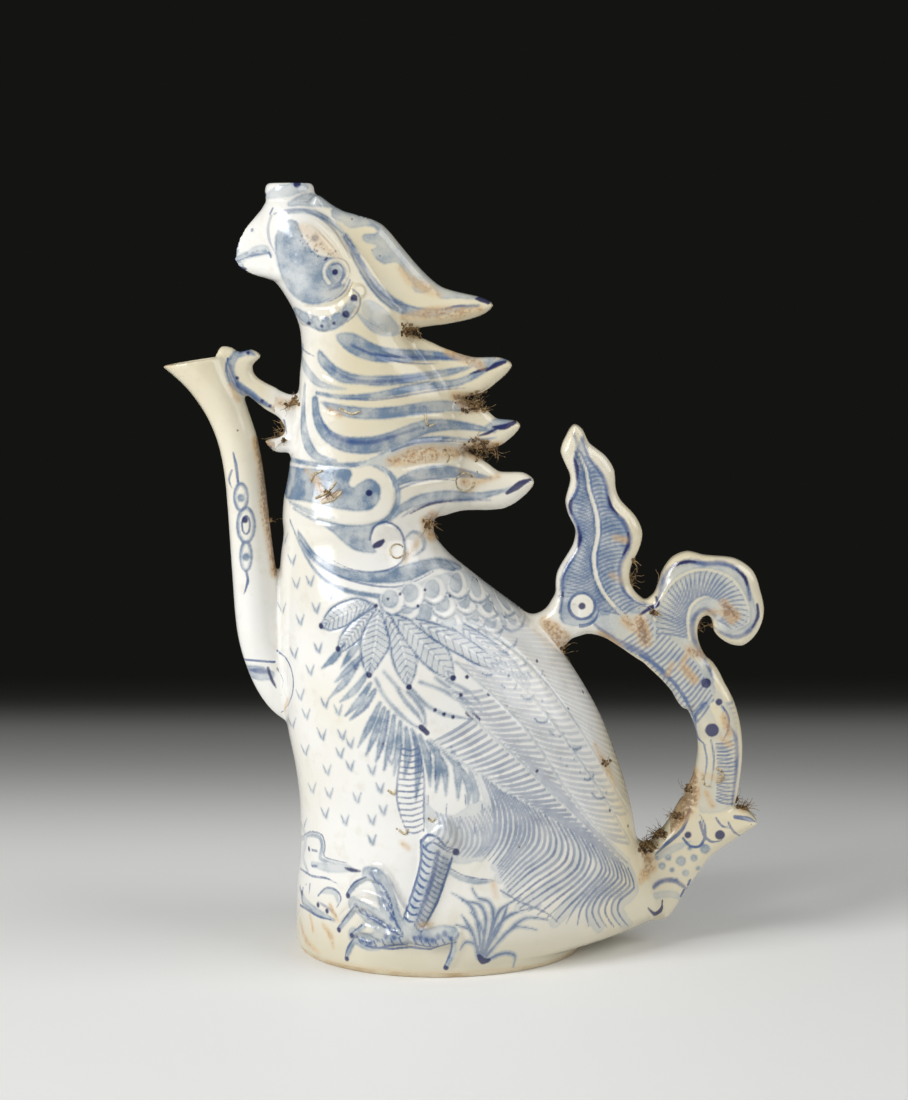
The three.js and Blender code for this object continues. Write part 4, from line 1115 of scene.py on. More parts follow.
# %% Paint the ladders of the wing
DIVIDERS = [
    [(472, 622), (512, 648), (552, 690), (590, 745), (628, 812)],
    [(476, 640), (526, 690), (566, 740), (606, 800), (631, 842)],
    [(456, 662), (500, 702), (530, 734), (560, 780), (600, 832), (630, 860)],
    [(450, 690), (478, 722), (520, 760), (560, 800), (600, 836), (626, 862)],
    [(430, 740), (480, 775), (520, 800), (560, 825), (600, 850), (622, 868)],
]
for divider in DIVIDERS:
    brush("bird", "keep", 1.2, divider)
    brush("bird", "wash", 0.8, divider, POINTED, 0.5)
LADDERS = ((0, 1, 32, 0.24, 0.06), (1, 2, 34, 0.26, 0.08), (2, 3, 34, 0.36, 0.14), (3, 4, 34, 0.5, 0.22))
for upper, lower, count, tone, haze in LADDERS:
    top, foot = shifted(DIVIDERS[upper], 0, 5), shifted(DIVIDERS[lower], 0, -2)
    rungs("bird", "line", 1.0, top, foot, count, sag=1.5, tone=tone, lag=-0.11)
    rungs("bird", "wash", 2.2, top, foot, count // 2, sag=1.5, tone=haze, lag=-0.11)
BACK_EDGE = [(500, 604), (548, 636), (590, 690), (622, 756), (638, 812)]
rungs("bird", "line", 0.9, shifted(BACK_EDGE, 0, 4), shifted(DIVIDERS[0], 0, -3), 34, sag=1.5, tone=0.2,
      lag=-0.1)
ARCS = ((492, 632), (508, 640), (500, 656), (518, 660), (534, 672), (486, 668), (508, 684), (526, 692),
        (548, 700), (540, 716), (556, 730), (574, 742), (566, 758), (586, 772), (598, 792))
for x, z in ARCS:
    brush("bird", "wash", 0.8, [(x - 6, z + 1), (x - 1, z + 7), (x + 6, z + 6), (x + 9, z - 1)], POINTED, 0.7)
tally("wing")

# %% Paint the rump and the thigh
RUMP_GUIDES = [
    [(482, 775), (492, 800), (495, 820), (492, 840), (480, 856)],
    [(500, 790), (514, 812), (516, 830), (510, 848), (497, 866)],
    [(520, 800), (533, 822), (532, 842), (518, 858), (500, 878)],
    [(545, 815), (556, 838), (553, 855), (530, 872), (508, 892)],
    [(570, 830), (580, 850), (577, 868), (550, 888), (520, 908)],
    [(592, 845), (602, 868), (590, 885), (570, 905), (555, 922)],
    [(612, 858), (618, 878), (600, 895), (592, 912), (600, 928)],
    [(628, 868), (634, 888), (620, 900), (618, 912), (628, 926)],
]
for guide in RUMP_GUIDES:
    brush("bird", "wash", 6.5, guide, (0.6, 0.6), 0.3)
fan("bird", "line", 0.95, RUMP_GUIDES, 4, (0.5, 0.25), 0.58)
fan("bird", "deep", 0.4, RUMP_GUIDES[3:], 2, (0.4, 0.2), 0.6)
THIGH_GUIDES = [
    [(436, 812), (440, 824), (438, 834), (432, 842)], [(456, 818), (462, 832), (460, 846), (452, 856)],
    [(474, 816), (482, 832), (482, 846), (472, 858)], [(488, 806), (496, 824), (496, 840), (486, 856)],
]
fan("bird", "line", 0.8, THIGH_GUIDES, 4, (0.5, 0.3), 0.4)
THIGH_GROUND = [
    (424, 800), (436, 812), (455, 815), (480, 800), (494, 812), (499, 830), (492, 850), (466, 864),
    (442, 858), (430, 842)
]
area("bird", "wash", THIGH_GROUND, 0.36)
SHIN_FRONT = [(402, 745), (398, 775), (397, 800), (402, 820), (408, 835)]
SHIN_BACK = [(418, 745), (424, 775), (424, 800), (424, 820), (424, 832)]
for edge in (SHIN_FRONT, SHIN_BACK):
    brush("bird", "line", 0.5, edge, POINTED, 0.75)
rungs("bird", "line", 0.5, SHIN_FRONT, SHIN_BACK, 15, sag=2.5, tone=0.8)
THIGH_DASHES = (
    [(447, 775), (447, 785)], [(428, 795), (428, 805)], [(447, 804), (446, 814)], [(460, 816), (459, 828)],
    [(465, 794), (466, 806)], [(482, 804), (483, 816)], [(475, 822), (474, 834)], [(436, 770), (435, 780)],
    [(430, 750), (431, 762)])
for dash in THIGH_DASHES:
    brush("bird", "line", 0.6, dash, (0.5, 0.3), 0.8)
tally("rump and thigh")

# %% [markdown]
# The leg has rungs for its scales; toes and claws are single loaded strokes. Grass and scrolls fill
# the base, and small paired marks stand for the breast's down.

# %% Paint the leg and the claws
LEG_LEFT = [(421, 840), (421, 860), (415, 885), (408, 905), (403, 920)]
LEG_MIDDLE = [(436, 850), (430, 880), (420, 905), (413, 925)]
LEG_RIGHT = [(452, 858), (445, 880), (436, 905), (425, 925), (420, 935)]
area("bird", "wash", LEG_LEFT + LEG_RIGHT[::-1], 0.6)
for edge in (LEG_LEFT, LEG_RIGHT):
    brush("bird", "line", 0.6, edge, POINTED, 0.9)
brush("bird", "deep", 1.6, [(438, 852), (432, 880), (423, 905), (414, 928)], POINTED, 0.8)
rungs("bird", "line", 0.7, LEG_LEFT, LEG_MIDDLE, 11, sag=2.5, tone=0.95)
rungs("bird", "line", 0.4, LEG_MIDDLE, LEG_RIGHT, 16, sag=1.5, tone=0.7)
TOES = ([(400, 930), (392, 915), (387, 895), (378, 880), (370, 878)],
        [(400, 933), (385, 925), (370, 915), (356, 908)],
        [(405, 940), (385, 942), (370, 944), (356, 938)],
        [(412, 940), (430, 943), (445, 940), (454, 938)])
for toe in TOES:
    brush("bird", "wash", 6.4, shifted(toe, -2, -3), (0.9, 0.7), 0.65)
    brush("bird", "line", 0.5, shifted(toe, 3, 4), POINTED, 0.9)
    rungs("bird", "line", 0.5, shifted(toe, -2, -3), shifted(toe, 2, 4), 6, sag=0.5, tone=0.9)
    for share in (0.15, 0.3, 0.45, 0.6, 0.75, 0.9):
        x, z = along_line(toe, share)
        dot("bird", "deep", 0.9, (x - 3 + 2 * math.sin(40 * share), z - 3 + 2 * math.cos(31 * share)), 0.7)
FOOT_STROKES = (
    ("line", 0.7, 0.9, POINTED, (421, 842), (428, 835), (438, 838), (445, 846), (456, 850)),
    ("line", 0.6, 0.8, POINTED, (424, 848), (432, 842), (442, 848), (452, 853)),
    ("line", 0.6, 0.9, POINTED, (366, 946), (390, 949), (410, 947), (430, 949), (446, 944), (454, 943)),
    ("wash", 1.6, 0.6, (0.4, 0.3), (446, 870), (460, 878), (478, 882), (493, 881)),
    ("line", 0.5, 0.7, POINTED, (447, 866), (462, 875), (480, 879), (495, 880)),
)
paint_rows("bird", FOOT_STROKES)
dots("bird", "ink", 1.1, (456, 852))
CLAWS = ([(368, 878), (356, 884), (348, 896)], [(356, 908), (348, 918), (339, 930)],
         [(357, 938), (350, 948), (347, 959)], [(454, 938), (453, 952), (446, 968)], [(364, 926), (352, 936)])
for claw in CLAWS:
    brush("bird", "wash", 1.7, claw, (0.9, 0.4), 0.7)
    brush("bird", "line", 0.5, shifted(claw, -2, -1), (0.8, 0.6), 0.9)
    dot("bird", "ink", 0.8, claw[-1])
tally("leg and claws")

# %% Paint the grass, the scrolls and the down
BLADES = ([(481, 958), (478, 925), (470, 905), (452, 893)],
          [(483, 957), (491, 930), (493, 910), (488, 901), (478, 898), (472, 888)],
          [(484, 955), (492, 930), (500, 910), (520, 898)], [(485, 955), (495, 930), (510, 915), (541, 906)],
          [(486, 957), (500, 940), (515, 927), (537, 930)], [(487, 960), (505, 953), (515, 956), (513, 967)],
          [(479, 958), (475, 945), (466, 942), (460, 950)], [(478, 957), (475, 940), (470, 930), (456, 925)],
          [(480, 955), (486, 920), (480, 905), (462, 901)], [(483, 955), (500, 926), (508, 904)],
          [(480, 956), (471, 930), (462, 915)], [(486, 956), (506, 934), (526, 918), (548, 920)],
          [(482, 956), (484, 936), (476, 918), (470, 912)])
for blade in BLADES:
    brush("bird", "wash", 1.7, blade, (1, 0.3), 0.55)
    brush("bird", "line", 0.55, blade, (1, 0.2), 0.7)
brush("bird", "ink", 2.2, [(479, 956), (483, 961), (489, 960)], (0.6, 0.5))
BASE_STROKES = (
    ("wash", 1.5, 0.7, (0.4, 0.3), (302, 840), (310, 835), (320, 838), (322, 850), (320, 858), (330, 862),
     (345, 865)),
    ("line", 0.5, 0.8, POINTED, (301, 838), (310, 832), (322, 835), (325, 848), (324, 856), (334, 860),
     (347, 863)),
    ("ink", 1.1, 1, (0.5, 0.4), (345, 868), (352, 870), (360, 871)),
    ("line", 0.7, 0.8, FULL, (312, 850), (317, 851)),
    ("line", 0.7, 0.8, FULL, (312, 866), (317, 866)),
    ("line", 0.9, 0.9, POINTED, (303, 888), (302, 900)),
    ("line", 0.7, 0.8, POINTED, (310, 884), (309, 894)),
    ("line", 0.8, 0.9, POINTED, (300, 905), (308, 910), (320, 917), (332, 920)),
    ("line", 0.6, 0.8, POINTED, (300, 868), (312, 876), (326, 878), (338, 884)),
    ("line", 0.6, 0.8, POINTED, (318, 896), (326, 888), (336, 890), (341, 899), (336, 908)),
    ("line", 0.5, 0.7, POINTED, (500, 890), (520, 902), (545, 912), (560, 924)),
    ("wash", 2.2, 0.5, (0.5, 0.4), (300, 822), (306, 838), (303, 856), (308, 872)),
    ("wash", 3.0, 0.5, (0.5, 0.2), (312, 864), (328, 868), (346, 868), (356, 871)),
    ("wash", 2.4, 0.6, (0.6, 0.4), (300, 888), (306, 902), (318, 912), (334, 920)),
    ("wash", 1.8, 0.5, (0.5, 0.5), (322, 892), (334, 892), (338, 902)),
    ("deep", 1.1, 0.8, (0.5, 0.5), (301, 890), (303, 903), (312, 910)),
    ("deep", 0.9, 0.8, (0.5, 0.5), (318, 902), (328, 908), (336, 915)),
)
paint_rows("bird", BASE_STROKES)
dots("bird", "ink", 0.8, (309, 849), (302, 893), (318, 905), (327, 911))
DOWN = ((284, 540), (310, 583), (330, 597), (282, 610), (318, 650), (310, 672), (325, 705), (300, 697),
        (322, 737), (342, 737), (305, 752), (327, 772), (350, 768), (372, 772), (329, 795), (357, 800),
        (383, 812), (303, 825), (292, 562), (300, 622), (294, 655), (338, 712), (345, 822), (372, 842),
        (325, 815), (292, 725), (350, 745), (380, 790), (306, 716), (340, 755), (312, 790), (391, 762),
        (372, 822), (296, 585), (316, 610))
for x, z in DOWN:
    for start, end in (((x - 4, z - 7), (x - 1, z)), ((x + 4, z - 7), (x + 1, z + 2))):
        brush("bird", "wash", 1.4, [start, end], (0.3, 1), 0.45)
        brush("bird", "line", 0.6, [start, end], (0.3, 1), 0.45)
tally("base and breast")

# %% [markdown]
# The spout has a hanging garland of ovals and a collar line at its foot; the strut is a loose scroll.

# %% Paint the spout and the strut
for centre, across, down in (((241, 497), 6, 13), ((246, 525), 8, 17), ((246, 556), 5, 14)):
    ring("spout", "wash", 0.8, centre, across, down, 0.7)
    ring("spout", "line", 0.4, centre, across + 1, down + 1, 0.6)
ring("spout", "line", 0.5, (246, 525), 4, 9, 0.9)
dots("spout", "ink", 1.0, (245, 520))
dots("spout", "wash", 1.2, (241, 498), (246, 557), tone=0.8)
SPOUT_STROKES = (
    ("line", 0.9, 0.9, (0.3, 0.8), (233, 452), (236, 465), (238, 482)),
    ("line", 0.8, 0.9, (0.8, 0.2), (246, 571), (248, 580), (244, 594)),
    ("line", 0.6, 0.8, POINTED, (232, 470), (229, 480), (232, 488)),
    ("line", 0.6, 0.9, FULL, (240, 659), (260, 661), (275, 662)),
    ("wash", 5.0, 0.6, (0.8, 0.6), (247, 671), (258, 673), (270, 675)),
    ("deep", 2.0, 0.8, (0.5, 0.5), (250, 670), (260, 671), (268, 672)),
    ("ink", 0.9, 1, POINTED, (268, 668), (272, 680), (278, 690)),
    ("wash", 3.0, 0.8, POINTED, (231, 362), (230, 372), (235, 384), (248, 393), (262, 402), (278, 411)),
    ("deep", 1.4, 0.9, POINTED, (230, 366), (234, 382), (247, 392), (262, 402), (276, 411)),
    ("wash", 2.6, 0.8, POINTED, (231, 364), (236, 355), (246, 352), (255, 355)),
    ("deep", 1.0, 0.9, POINTED, (240, 353), (248, 351), (255, 354)),
    ("wash", 2.4, 0.7, POINTED, (262, 440), (270, 445), (284, 447)),
    ("wash", 2.2, 0.65, POINTED, (278, 418), (284, 430), (285, 444)),
    ("deep", 0.8, 0.8, POINTED, (279, 419), (284, 431), (283, 442)),
    ("ink", 0.8, 1, POINTED, (261, 439), (266, 443), (272, 445)),
    ("line", 0.5, 0.9, POINTED, (228, 358), (226, 368), (230, 382)),
)
paint_rows("spout", SPOUT_STROKES)
dots("spout", "ink", 0.55, (237, 378), (262, 401), (270, 406), (248, 353), (262, 444), (270, 447))
BREAST_JOINT_STROKES = (
    ("line", 0.6, 0.9, POINTED, (273, 649), (285, 657), (292, 672), (293, 690), (288, 705), (281, 713)),
    ("line", 0.5, 0.8, POINTED, (277, 668), (283, 680), (281, 695)),
    ("line", 0.6, 0.8, POINTED, (284, 420), (287, 435)),
)
paint_rows("bird", BREAST_JOINT_STROKES)
tally("spout and strut")

# %% [markdown]
# The tail is a standing leaf with a white rib, a curl like a wave, the bow to hold, and a fishtail
# foot with spots. Barbs are combed out from the rib to the rim.

# %% Paint the standing leaf
LEAF_LEFT = [(574, 434), (577, 446), (575, 462), (578, 478), (577, 490), (571, 502), (571, 512), (577, 524),
             (580, 538), (577, 552), (568, 565), (562, 580), (562, 598), (560, 612)]
LEAF_RIGHT = [(582, 437), (589, 458), (602, 475), (607, 490), (610, 508), (622, 520), (629, 535), (628, 548),
              (621, 562), (620, 578), (625, 592), (637, 602), (650, 606)]
LEAF_RIB = [(578, 452), (586, 470), (589, 490), (596, 512), (598, 535), (594, 555), (596, 575), (603, 592),
            (614, 606), (625, 617)]
LEAF_FOOT = [(562, 622), (575, 626), (600, 622), (640, 618)]
for sheet in ("tail", "bird"):
    area(sheet, "wash", LEAF_LEFT[2:] + LEAF_FOOT + LEAF_RIGHT[::-1], 0.72)
for side in (LEAF_LEFT[1:], LEAF_RIGHT[1:]):
    rungs("tail", "line", 0.6, LEAF_RIB, side, 40, sag=-2.0, tone=0.65, lag=-0.03)
brush("tail", "keep", 1.7, LEAF_RIB, (0.4, 0.8))
for side_step in (-3, 3):
    brush("tail", "line", 0.45, shifted(LEAF_RIB, side_step, 0), POINTED, 0.85)
brush("tail", "deep", 1.7, LEAF_RIGHT, (0.6, 0.6), 0.85)
for sheet in ("tail", "bird"):
    brush(sheet, "deep", 1.5, LEAF_LEFT, (0.6, 0.6), 0.85)
    dot(sheet, "keep", 4.2, (582, 606))
    ring(sheet, "line", 0.8, (582, 606), 13, 13, 0.9)
    dot(sheet, "ink", 1.1, (582, 606))
tally("leaf")

# %% Paint the curl and the bow
CURL_OUTER = [(655, 640), (656, 612), (670, 585), (695, 570), (728, 576), (745, 598), (748, 622), (728, 632)]
CURL_INNER = [(690, 640), (688, 620), (692, 605), (704, 597), (714, 598), (722, 606), (724, 616), (714, 622)]
ARM_OUTER = [(610, 640), (638, 656), (660, 678), (678, 704), (690, 730)]
ARM_INNER = [(646, 618), (672, 640), (694, 662), (708, 686), (716, 706)]
CURL_WASH = [
    (658, 600), (664, 580), (680, 566), (712, 562), (738, 570), (750, 590), (756, 618), (740, 636),
    (720, 632), (712, 614), (698, 614), (693, 634), (702, 656), (714, 680), (700, 700), (676, 682),
    (652, 655), (640, 630)
]
area("tail", "wash", CURL_WASH, 0.54)
rungs("tail", "line", 0.6, CURL_INNER, CURL_OUTER, 34, sag=-1.5, tone=0.65, lag=0.02)
rungs("tail", "line", 0.6, ARM_INNER, ARM_OUTER, 24, sag=3.0, tone=0.65, lag=0.05)
brush("tail", "keep", 1.2, CURL_INNER[:5], POINTED)
brush("tail", "keep", 1.0, CURL_OUTER, POINTED)
BOW_WASHES = (
    (0.52, (590, 614), (640, 610), (668, 636), (700, 668), (716, 690), (708, 706), (690, 722), (672, 690),
     (645, 660), (610, 640)),
    (0.3, (716, 690), (724, 700), (734, 715), (738, 745), (736, 790), (728, 808), (700, 812), (694, 760),
     (690, 722), (708, 706)),
)
for tone, *outline in BOW_WASHES:
    area("tail", "wash", outline, tone)
TAIL_STROKES = (
    ("line", 1.1, 0.9, POINTED, (563, 612), (570, 622), (582, 626), (595, 620), (599, 608)),
    ("ink", 1.3, 1, (0.5, 0.5), (640, 615), (650, 608), (658, 604), (656, 597)),
    ("ink", 1.1, 1, (0.4, 0.4), (574, 458), (577, 468), (577, 480)),
    ("ink", 1.1, 1, (0.4, 0.4), (572, 498), (570, 506), (572, 514)),
    ("ink", 1.1, 1, (0.4, 0.4), (578, 526), (580, 537), (578, 548)),
    ("ink", 1.1, 1, (0.4, 0.4), (563, 592), (561, 604), (560, 614)),
    ("ink", 1.0, 1, (0.4, 0.4), (608, 496), (611, 506), (618, 515)),
    ("ink", 1.0, 1, (0.4, 0.4), (628, 532), (628, 545), (623, 555)),
    ("deep", 2.2, 0.7, (0.4, 0.4), (595, 625), (615, 640), (640, 652), (655, 665), (670, 680)),
    ("deep", 1.6, 0.9, (0.5, 0.5), (657, 605), (660, 590), (665, 575), (675, 566), (690, 561), (705, 564),
     (720, 563), (735, 568), (745, 578), (749, 592), (750, 600)),
    ("deep", 1.5, 0.9, (0.5, 0.5), (757, 605), (757, 620), (748, 632), (738, 637), (725, 635), (715, 628)),
    ("deep", 1.8, 0.9, (0.5, 0.5), (715, 615), (706, 609), (698, 612), (693, 622), (693, 635), (698, 648),
     (705, 660), (712, 675)),
    ("ink", 1.0, 1, (0.4, 0.4), (672, 567), (684, 562), (696, 562)),
    ("ink", 1.0, 1, (0.4, 0.4), (736, 569), (745, 578), (748, 588)),
    ("ink", 1.0, 1, (0.4, 0.4), (757, 604), (758, 616), (752, 628)),
    ("keep", 3.4, 1, POINTED, (714, 706), (720, 718), (722, 732)),
    ("line", 1.0, 0.9, POINTED, (706, 703), (697, 712), (694, 725), (698, 738), (706, 745)),
    ("line", 0.7, 0.9, POINTED, (722, 706), (728, 716), (728, 730), (722, 742)),
    ("deep", 1.4, 0.9, (0.5, 0.5), (728, 725), (735, 735), (737, 755), (735, 780), (732, 805)),
    ("line", 1.0, 0.9, POINTED, (640, 655), (660, 668), (678, 688), (690, 708), (695, 722)),
    ("line", 0.5, 0.8, POINTED, (704, 745), (707, 760), (704, 780)),
    ("line", 0.5, 0.8, POINTED, (711, 740), (714, 760), (711, 785)),
    ("wash", 2.6, 0.45, POINTED, (724, 745), (727, 775), (722, 805)),
    ("line", 0.8, 0.9, POINTED, (683, 838), (690, 846), (700, 846), (705, 835), (704, 822), (700, 815)),
    ("line", 0.8, 0.9, POINTED, (700, 822), (704, 835), (712, 842), (722, 840)),
    ("line", 1.2, 0.9, POINTED, (735, 817), (748, 819), (755, 822)),
)
paint_rows("tail", TAIL_STROKES)
tally("curl and bow")

# %% Paint the fishtail
FISHTAIL_STROKES = (
    ("deep", 1.6, 0.8, POINTED, (653, 888), (660, 882), (672, 880), (683, 886), (690, 891)),
    ("ink", 1.6, 1, (0.6, 0.3), (662, 900), (662, 908), (655, 914), (648, 908)),
    ("wash", 2.4, 0.45, POINTED, (660, 855), (675, 848), (690, 842)),
    ("wash", 2.4, 0.4, POINTED, (655, 896), (672, 894), (684, 900)),
    ("line", 0.8, 0.9, FULL, (690, 880), (688, 885)), ("line", 0.8, 0.9, FULL, (684, 890), (681, 896)),
    ("line", 1.0, 0.9, POINTED, (690, 810), (682, 830), (665, 845), (655, 855)),
)
FISH_SPOTS = ((1.6, (681, 861), (705, 849)), (1.1, (662, 866), (694, 858), (668, 857), (686, 873)),
              (0.7, (672, 870), (676, 849), (698, 868), (690, 848), (657, 858), (676, 880), (711, 858)))
for sheet in ("tail", "bird"):
    paint_rows(sheet, FISHTAIL_STROKES)
    for width, *spots in FISH_SPOTS:
        dots(sheet, "wash", width, *spots, tone=0.7)
BOW_TIP_STROKES = (
    ("line", 0.6, 0.8, POINTED, (728, 822), (734, 832), (745, 838)),
    ("line", 0.6, 0.8, POINTED, (716, 818), (722, 826), (730, 828)),
)
paint_rows("tail", BOW_TIP_STROKES)
rungs("tail", "line", 0.6, [(716, 742), (718, 768), (716, 802)], [(734, 738), (736, 766), (733, 806)],
      16, sag=1.5, tone=0.75)
rungs("tail", "wash", 1.0, [(722, 700), (724, 716), (724, 736)], [(732, 700), (736, 716), (736, 736)],
      7, sag=1.5, tone=0.6)
dots("tail", "ink", 1.1, (727, 613), (719, 702), (688, 835))
dots("tail", "ink", 1.6, (706, 683), (720, 835))
dots("tail", "ink", 2.2, (712, 730))
tally("fishtail")

# %% [markdown]
# ## Stains of the sea
# Iron has crept into the joints, the valleys between plumes and the inside of the bow.

# %% Stain the clay
STAIN_STRENGTH = 1.35


def stain_rows(sheet, rows):
    """Soft blots of iron, each a little stronger than its listed tone."""
    for width, tone, *pixels in rows:
        brush(sheet, "stain", width, pixels, (0.5, 0.5), min(1.0, STAIN_STRENGTH * tone))


SOCKET_STAIN = [
    (297, 224), (312, 224), (325, 235), (336, 248), (342, 260), (332, 256), (318, 252), (305, 240)
]
area("bird", "stain", SOCKET_STAIN, 0.4)
BIRD_STAINS = (
    (4, 0.4, (400, 268), (410, 280), (430, 290), (440, 296)), (6, 0.55, (390, 462), (420, 455), (470, 452)),
    (5, 0.5, (448, 351), (468, 357), (482, 366)), (6, 0.6, (464, 482), (467, 483)),
    (3, 0.5, (306, 470), (316, 480), (322, 494)), (4, 0.55, (322, 500), (338, 494)),
    (4, 0.45, (478, 482), (498, 476)), (5, 0.5, (405, 318), (430, 314), (455, 314), (480, 310)),
    (6, 0.5, (276, 402), (292, 405)), (4, 0.5, (330, 410), (340, 415)),
    (6, 0.7, (455, 396), (470, 402), (492, 402)), (6, 0.7, (462, 448), (480, 450), (500, 446)),
    (5, 0.5, (405, 334), (416, 337)), (7, 0.6, (425, 520), (435, 528), (432, 515)),
    (5, 0.4, (405, 560), (422, 535)), (4, 0.45, (595, 745), (605, 765), (615, 785)),
    (7, 0.6, (545, 622), (560, 640), (566, 655)), (6, 0.6, (640, 850), (648, 865), (640, 880)),
    (4, 0.4, (420, 925), (432, 925)), (4, 0.4, (493, 883), (496, 897)), (4, 0.4, (402, 843), (408, 848)),
    (2, 0.7, (310, 915), (313, 930)), (2, 0.7, (323, 925), (330, 935), (333, 947)),
    (2, 0.7, (330, 905), (337, 920)), (3, 0.5, (300, 920), (306, 940), (318, 952)),
    (4, 0.5, (285, 715), (288, 700)), (2.5, 0.35, (330, 962), (400, 974), (470, 974), (540, 966)),
    (3, 0.35, (460, 470), (475, 482), (470, 492)), (4, 0.35, (316, 485), (332, 500)),
)
stain_rows("bird", BIRD_STAINS)
SPOUT_STAINS = (
    (5, 1.0, (257, 440), (263, 465), (267, 490), (270, 515), (273, 540), (276, 574)),
    (5, 0.7, (276, 408), (286, 412)), (3, 0.5, (230, 385), (238, 400)), (4, 0.5, (262, 440), (276, 446)),
    (2.5, 0.4, (160, 362), (170, 366)),
)
stain_rows("spout", SPOUT_STAINS)
TAIL_STAINS = (
    (9, 0.7, (640, 622), (645, 640)), (7, 0.6, (625, 620), (634, 628)), (7, 0.6, (690, 650), (700, 655)),
    (6, 0.6, (684, 668), (694, 680)), (4, 0.5, (722, 738), (730, 745)), (4, 0.5, (708, 612), (716, 612)),
    (6, 0.8, (724, 604), (736, 616)), (3, 0.8, (722, 612), (732, 622)), (3, 0.6, (645, 632), (650, 644)),
    (3, 0.6, (686, 656), (680, 668)), (3, 0.6, (672, 664), (668, 674)), (4, 0.7, (724, 716), (729, 734)),
    (3, 0.6, (706, 792), (712, 806)), (4, 0.5, (615, 538), (625, 540)), (4, 0.4, (612, 575), (620, 580)),
    (5, 1.0, (694, 770), (692, 795), (682, 815), (662, 836)), (5, 0.6, (650, 850), (646, 866)),
    (6, 0.6, (560, 616), (553, 630), (560, 645)), (5, 0.4, (700, 775), (722, 778)),
    (3, 0.5, (741, 808), (748, 806)), (5, 0.5, (600, 634), (620, 646)), (3, 0.4, (655, 912), (640, 905)),
)
stain_rows("tail", TAIL_STAINS)
print("brush marks:", {name: len(kept) for name, kept in marks.items()})

# %% [markdown]
# ## Low relief
# Some drawing was first pressed into the soft clay: the mouth, the cheek's curl, beads under it,
# grooves between the manes and the raised rims of the tail. The skin moves along its normals.

# %% How deep a place lies in a mark
REACH = 1.6


def mark_depth(line, radii, closed, at):
    """How far inside a mark places lie, in millimetres; negative outside."""
    start, end = (line, np.roll(line, -1, axis=0)) if closed else (line[:-1], line[1:])
    way = end - start
    squared = np.maximum((way ** 2).sum(axis=1), 1e-9)
    offset = at[:, None, :] - start[None]
    share = np.clip((offset * way).sum(axis=2) / squared, 0, 1)
    gap = np.sqrt(((offset - share[:, :, None] * way) ** 2).sum(axis=2))
    if not closed:
        return (radii[:-1] + (radii[1:] - radii[:-1]) * share - gap).max(axis=1)
    x, z = at[:, 0:1], at[:, 1:2]
    crosses = (start[:, 1] > z) != (end[:, 1] > z)
    slope = np.where(way[:, 1] == 0, 1, way[:, 1])
    inside = (crosses & (x < way[:, 0] * (z - start[:, 1]) / slope + start[:, 0])).sum(axis=1) % 2 == 1
    return np.where(inside, 1, -1) * gap.min(axis=1)


def each_mark(places, chosen):
    """Pairs each mark with the places it reaches and its depth there."""
    sheets = sheet_of(places)
    for sheet, kept in chosen.items():
        held = np.flatnonzero(sheets == sheet)
        if not len(held) or not kept:
            continue
        flat = on_sheet(places[held], sheet)
        order = np.argsort(flat[:, 0])
        held, flat = held[order], flat[order]
        for layer, line, radii, tone, closed in kept:
            margin = REACH + (0 if closed else radii.max())
            low, high = line.min(axis=0) - margin, line.max(axis=0) + margin
            first, last = np.searchsorted(flat[:, 0], [low[0], high[0]])
            near = np.flatnonzero((flat[first:last, 1] > low[1]) & (flat[first:last, 1] < high[1])) + first
            if len(near):
                yield layer, tone, held[near], mark_depth(line, radii, closed, flat[near])

# %% Pressed strokes
pressed = []


def press(sheet, width, depth, pixels, ends=(0.5, 0.5)):
    """A stroke that is pressed or raised by a depth in millimetres, kept apart from the painting."""
    brush(sheet, "press", width, pixels, ends, depth)
    pressed.append((sheet, marks[sheet].pop()))


GROOVES = (
    (1.2, -0.6, (238, 263), (250, 257), (262, 254), (271, 253)), (1.6, -0.5, (251, 229), (253, 231)),
    (1.4, -0.35, (297, 224), (312, 224), (325, 235), (336, 248), (342, 260)),
    (1.4, -0.35, (300, 234), (312, 246), (326, 255), (342, 260)),
    (1.6, 0.4, (343, 284), (348, 274), (344, 263), (334, 260), (326, 266), (327, 276), (334, 280)),
    (1.4, -0.5, (352, 284), (349, 292), (340, 301), (325, 307), (306, 307)),
    (1.6, -0.5, (346, 237), (357, 256), (368, 276), (382, 294), (400, 306), (420, 312)),
    (1.8, -0.35, (352, 344), (380, 355), (410, 361), (440, 363)),
    (1.8, -0.35, (324, 374), (350, 386), (380, 388), (410, 386), (440, 381)),
    (1.8, -0.35, (330, 410), (360, 414), (395, 415), (425, 412), (455, 414)),
    (1.8, -0.35, (300, 462), (330, 466), (352, 465), (368, 459), (388, 448), (410, 440), (440, 437)),
    (2.0, -0.4, (372, 462), (386, 469), (394, 484), (397, 498), (394, 512), (386, 520), (368, 526),
     (345, 526), (318, 520)),
    (1.6, -0.35, (370, 540), (375, 527), (386, 522), (400, 530), (406, 545), (403, 562), (392, 571)),
    (1.6, -0.3, (392, 486), (412, 482), (436, 479), (456, 481)),
    (1.6, -0.3, (404, 468), (430, 463), (460, 464)),
)
for width, depth, *pixels in GROOVES:
    press("bird", width, depth, pixels)
BEADS = ((306, 318), (322, 324), (336, 317), (348, 306), (357, 292))
for bead in BEADS:
    press("bird", 4.6, 0.7, [bead, (bead[0] + 1, bead[1])], FULL)
for feather in COVERTS:
    for edge in feather:
        press("bird", 1.2, -0.16, edge)
for divider in DIVIDERS:
    press("bird", 1.4, -0.14, divider)
SCALE_GROOVE = ((-11, -3), (-7, 6), (1, 10), (9, 5), (11, -4))
for x, z in SCALES:
    press("bird", 1.2, -0.18, shifted(SCALE_GROOVE, x, z))
for toe in TOES:
    press("bird", 2.6, 0.35, toe)
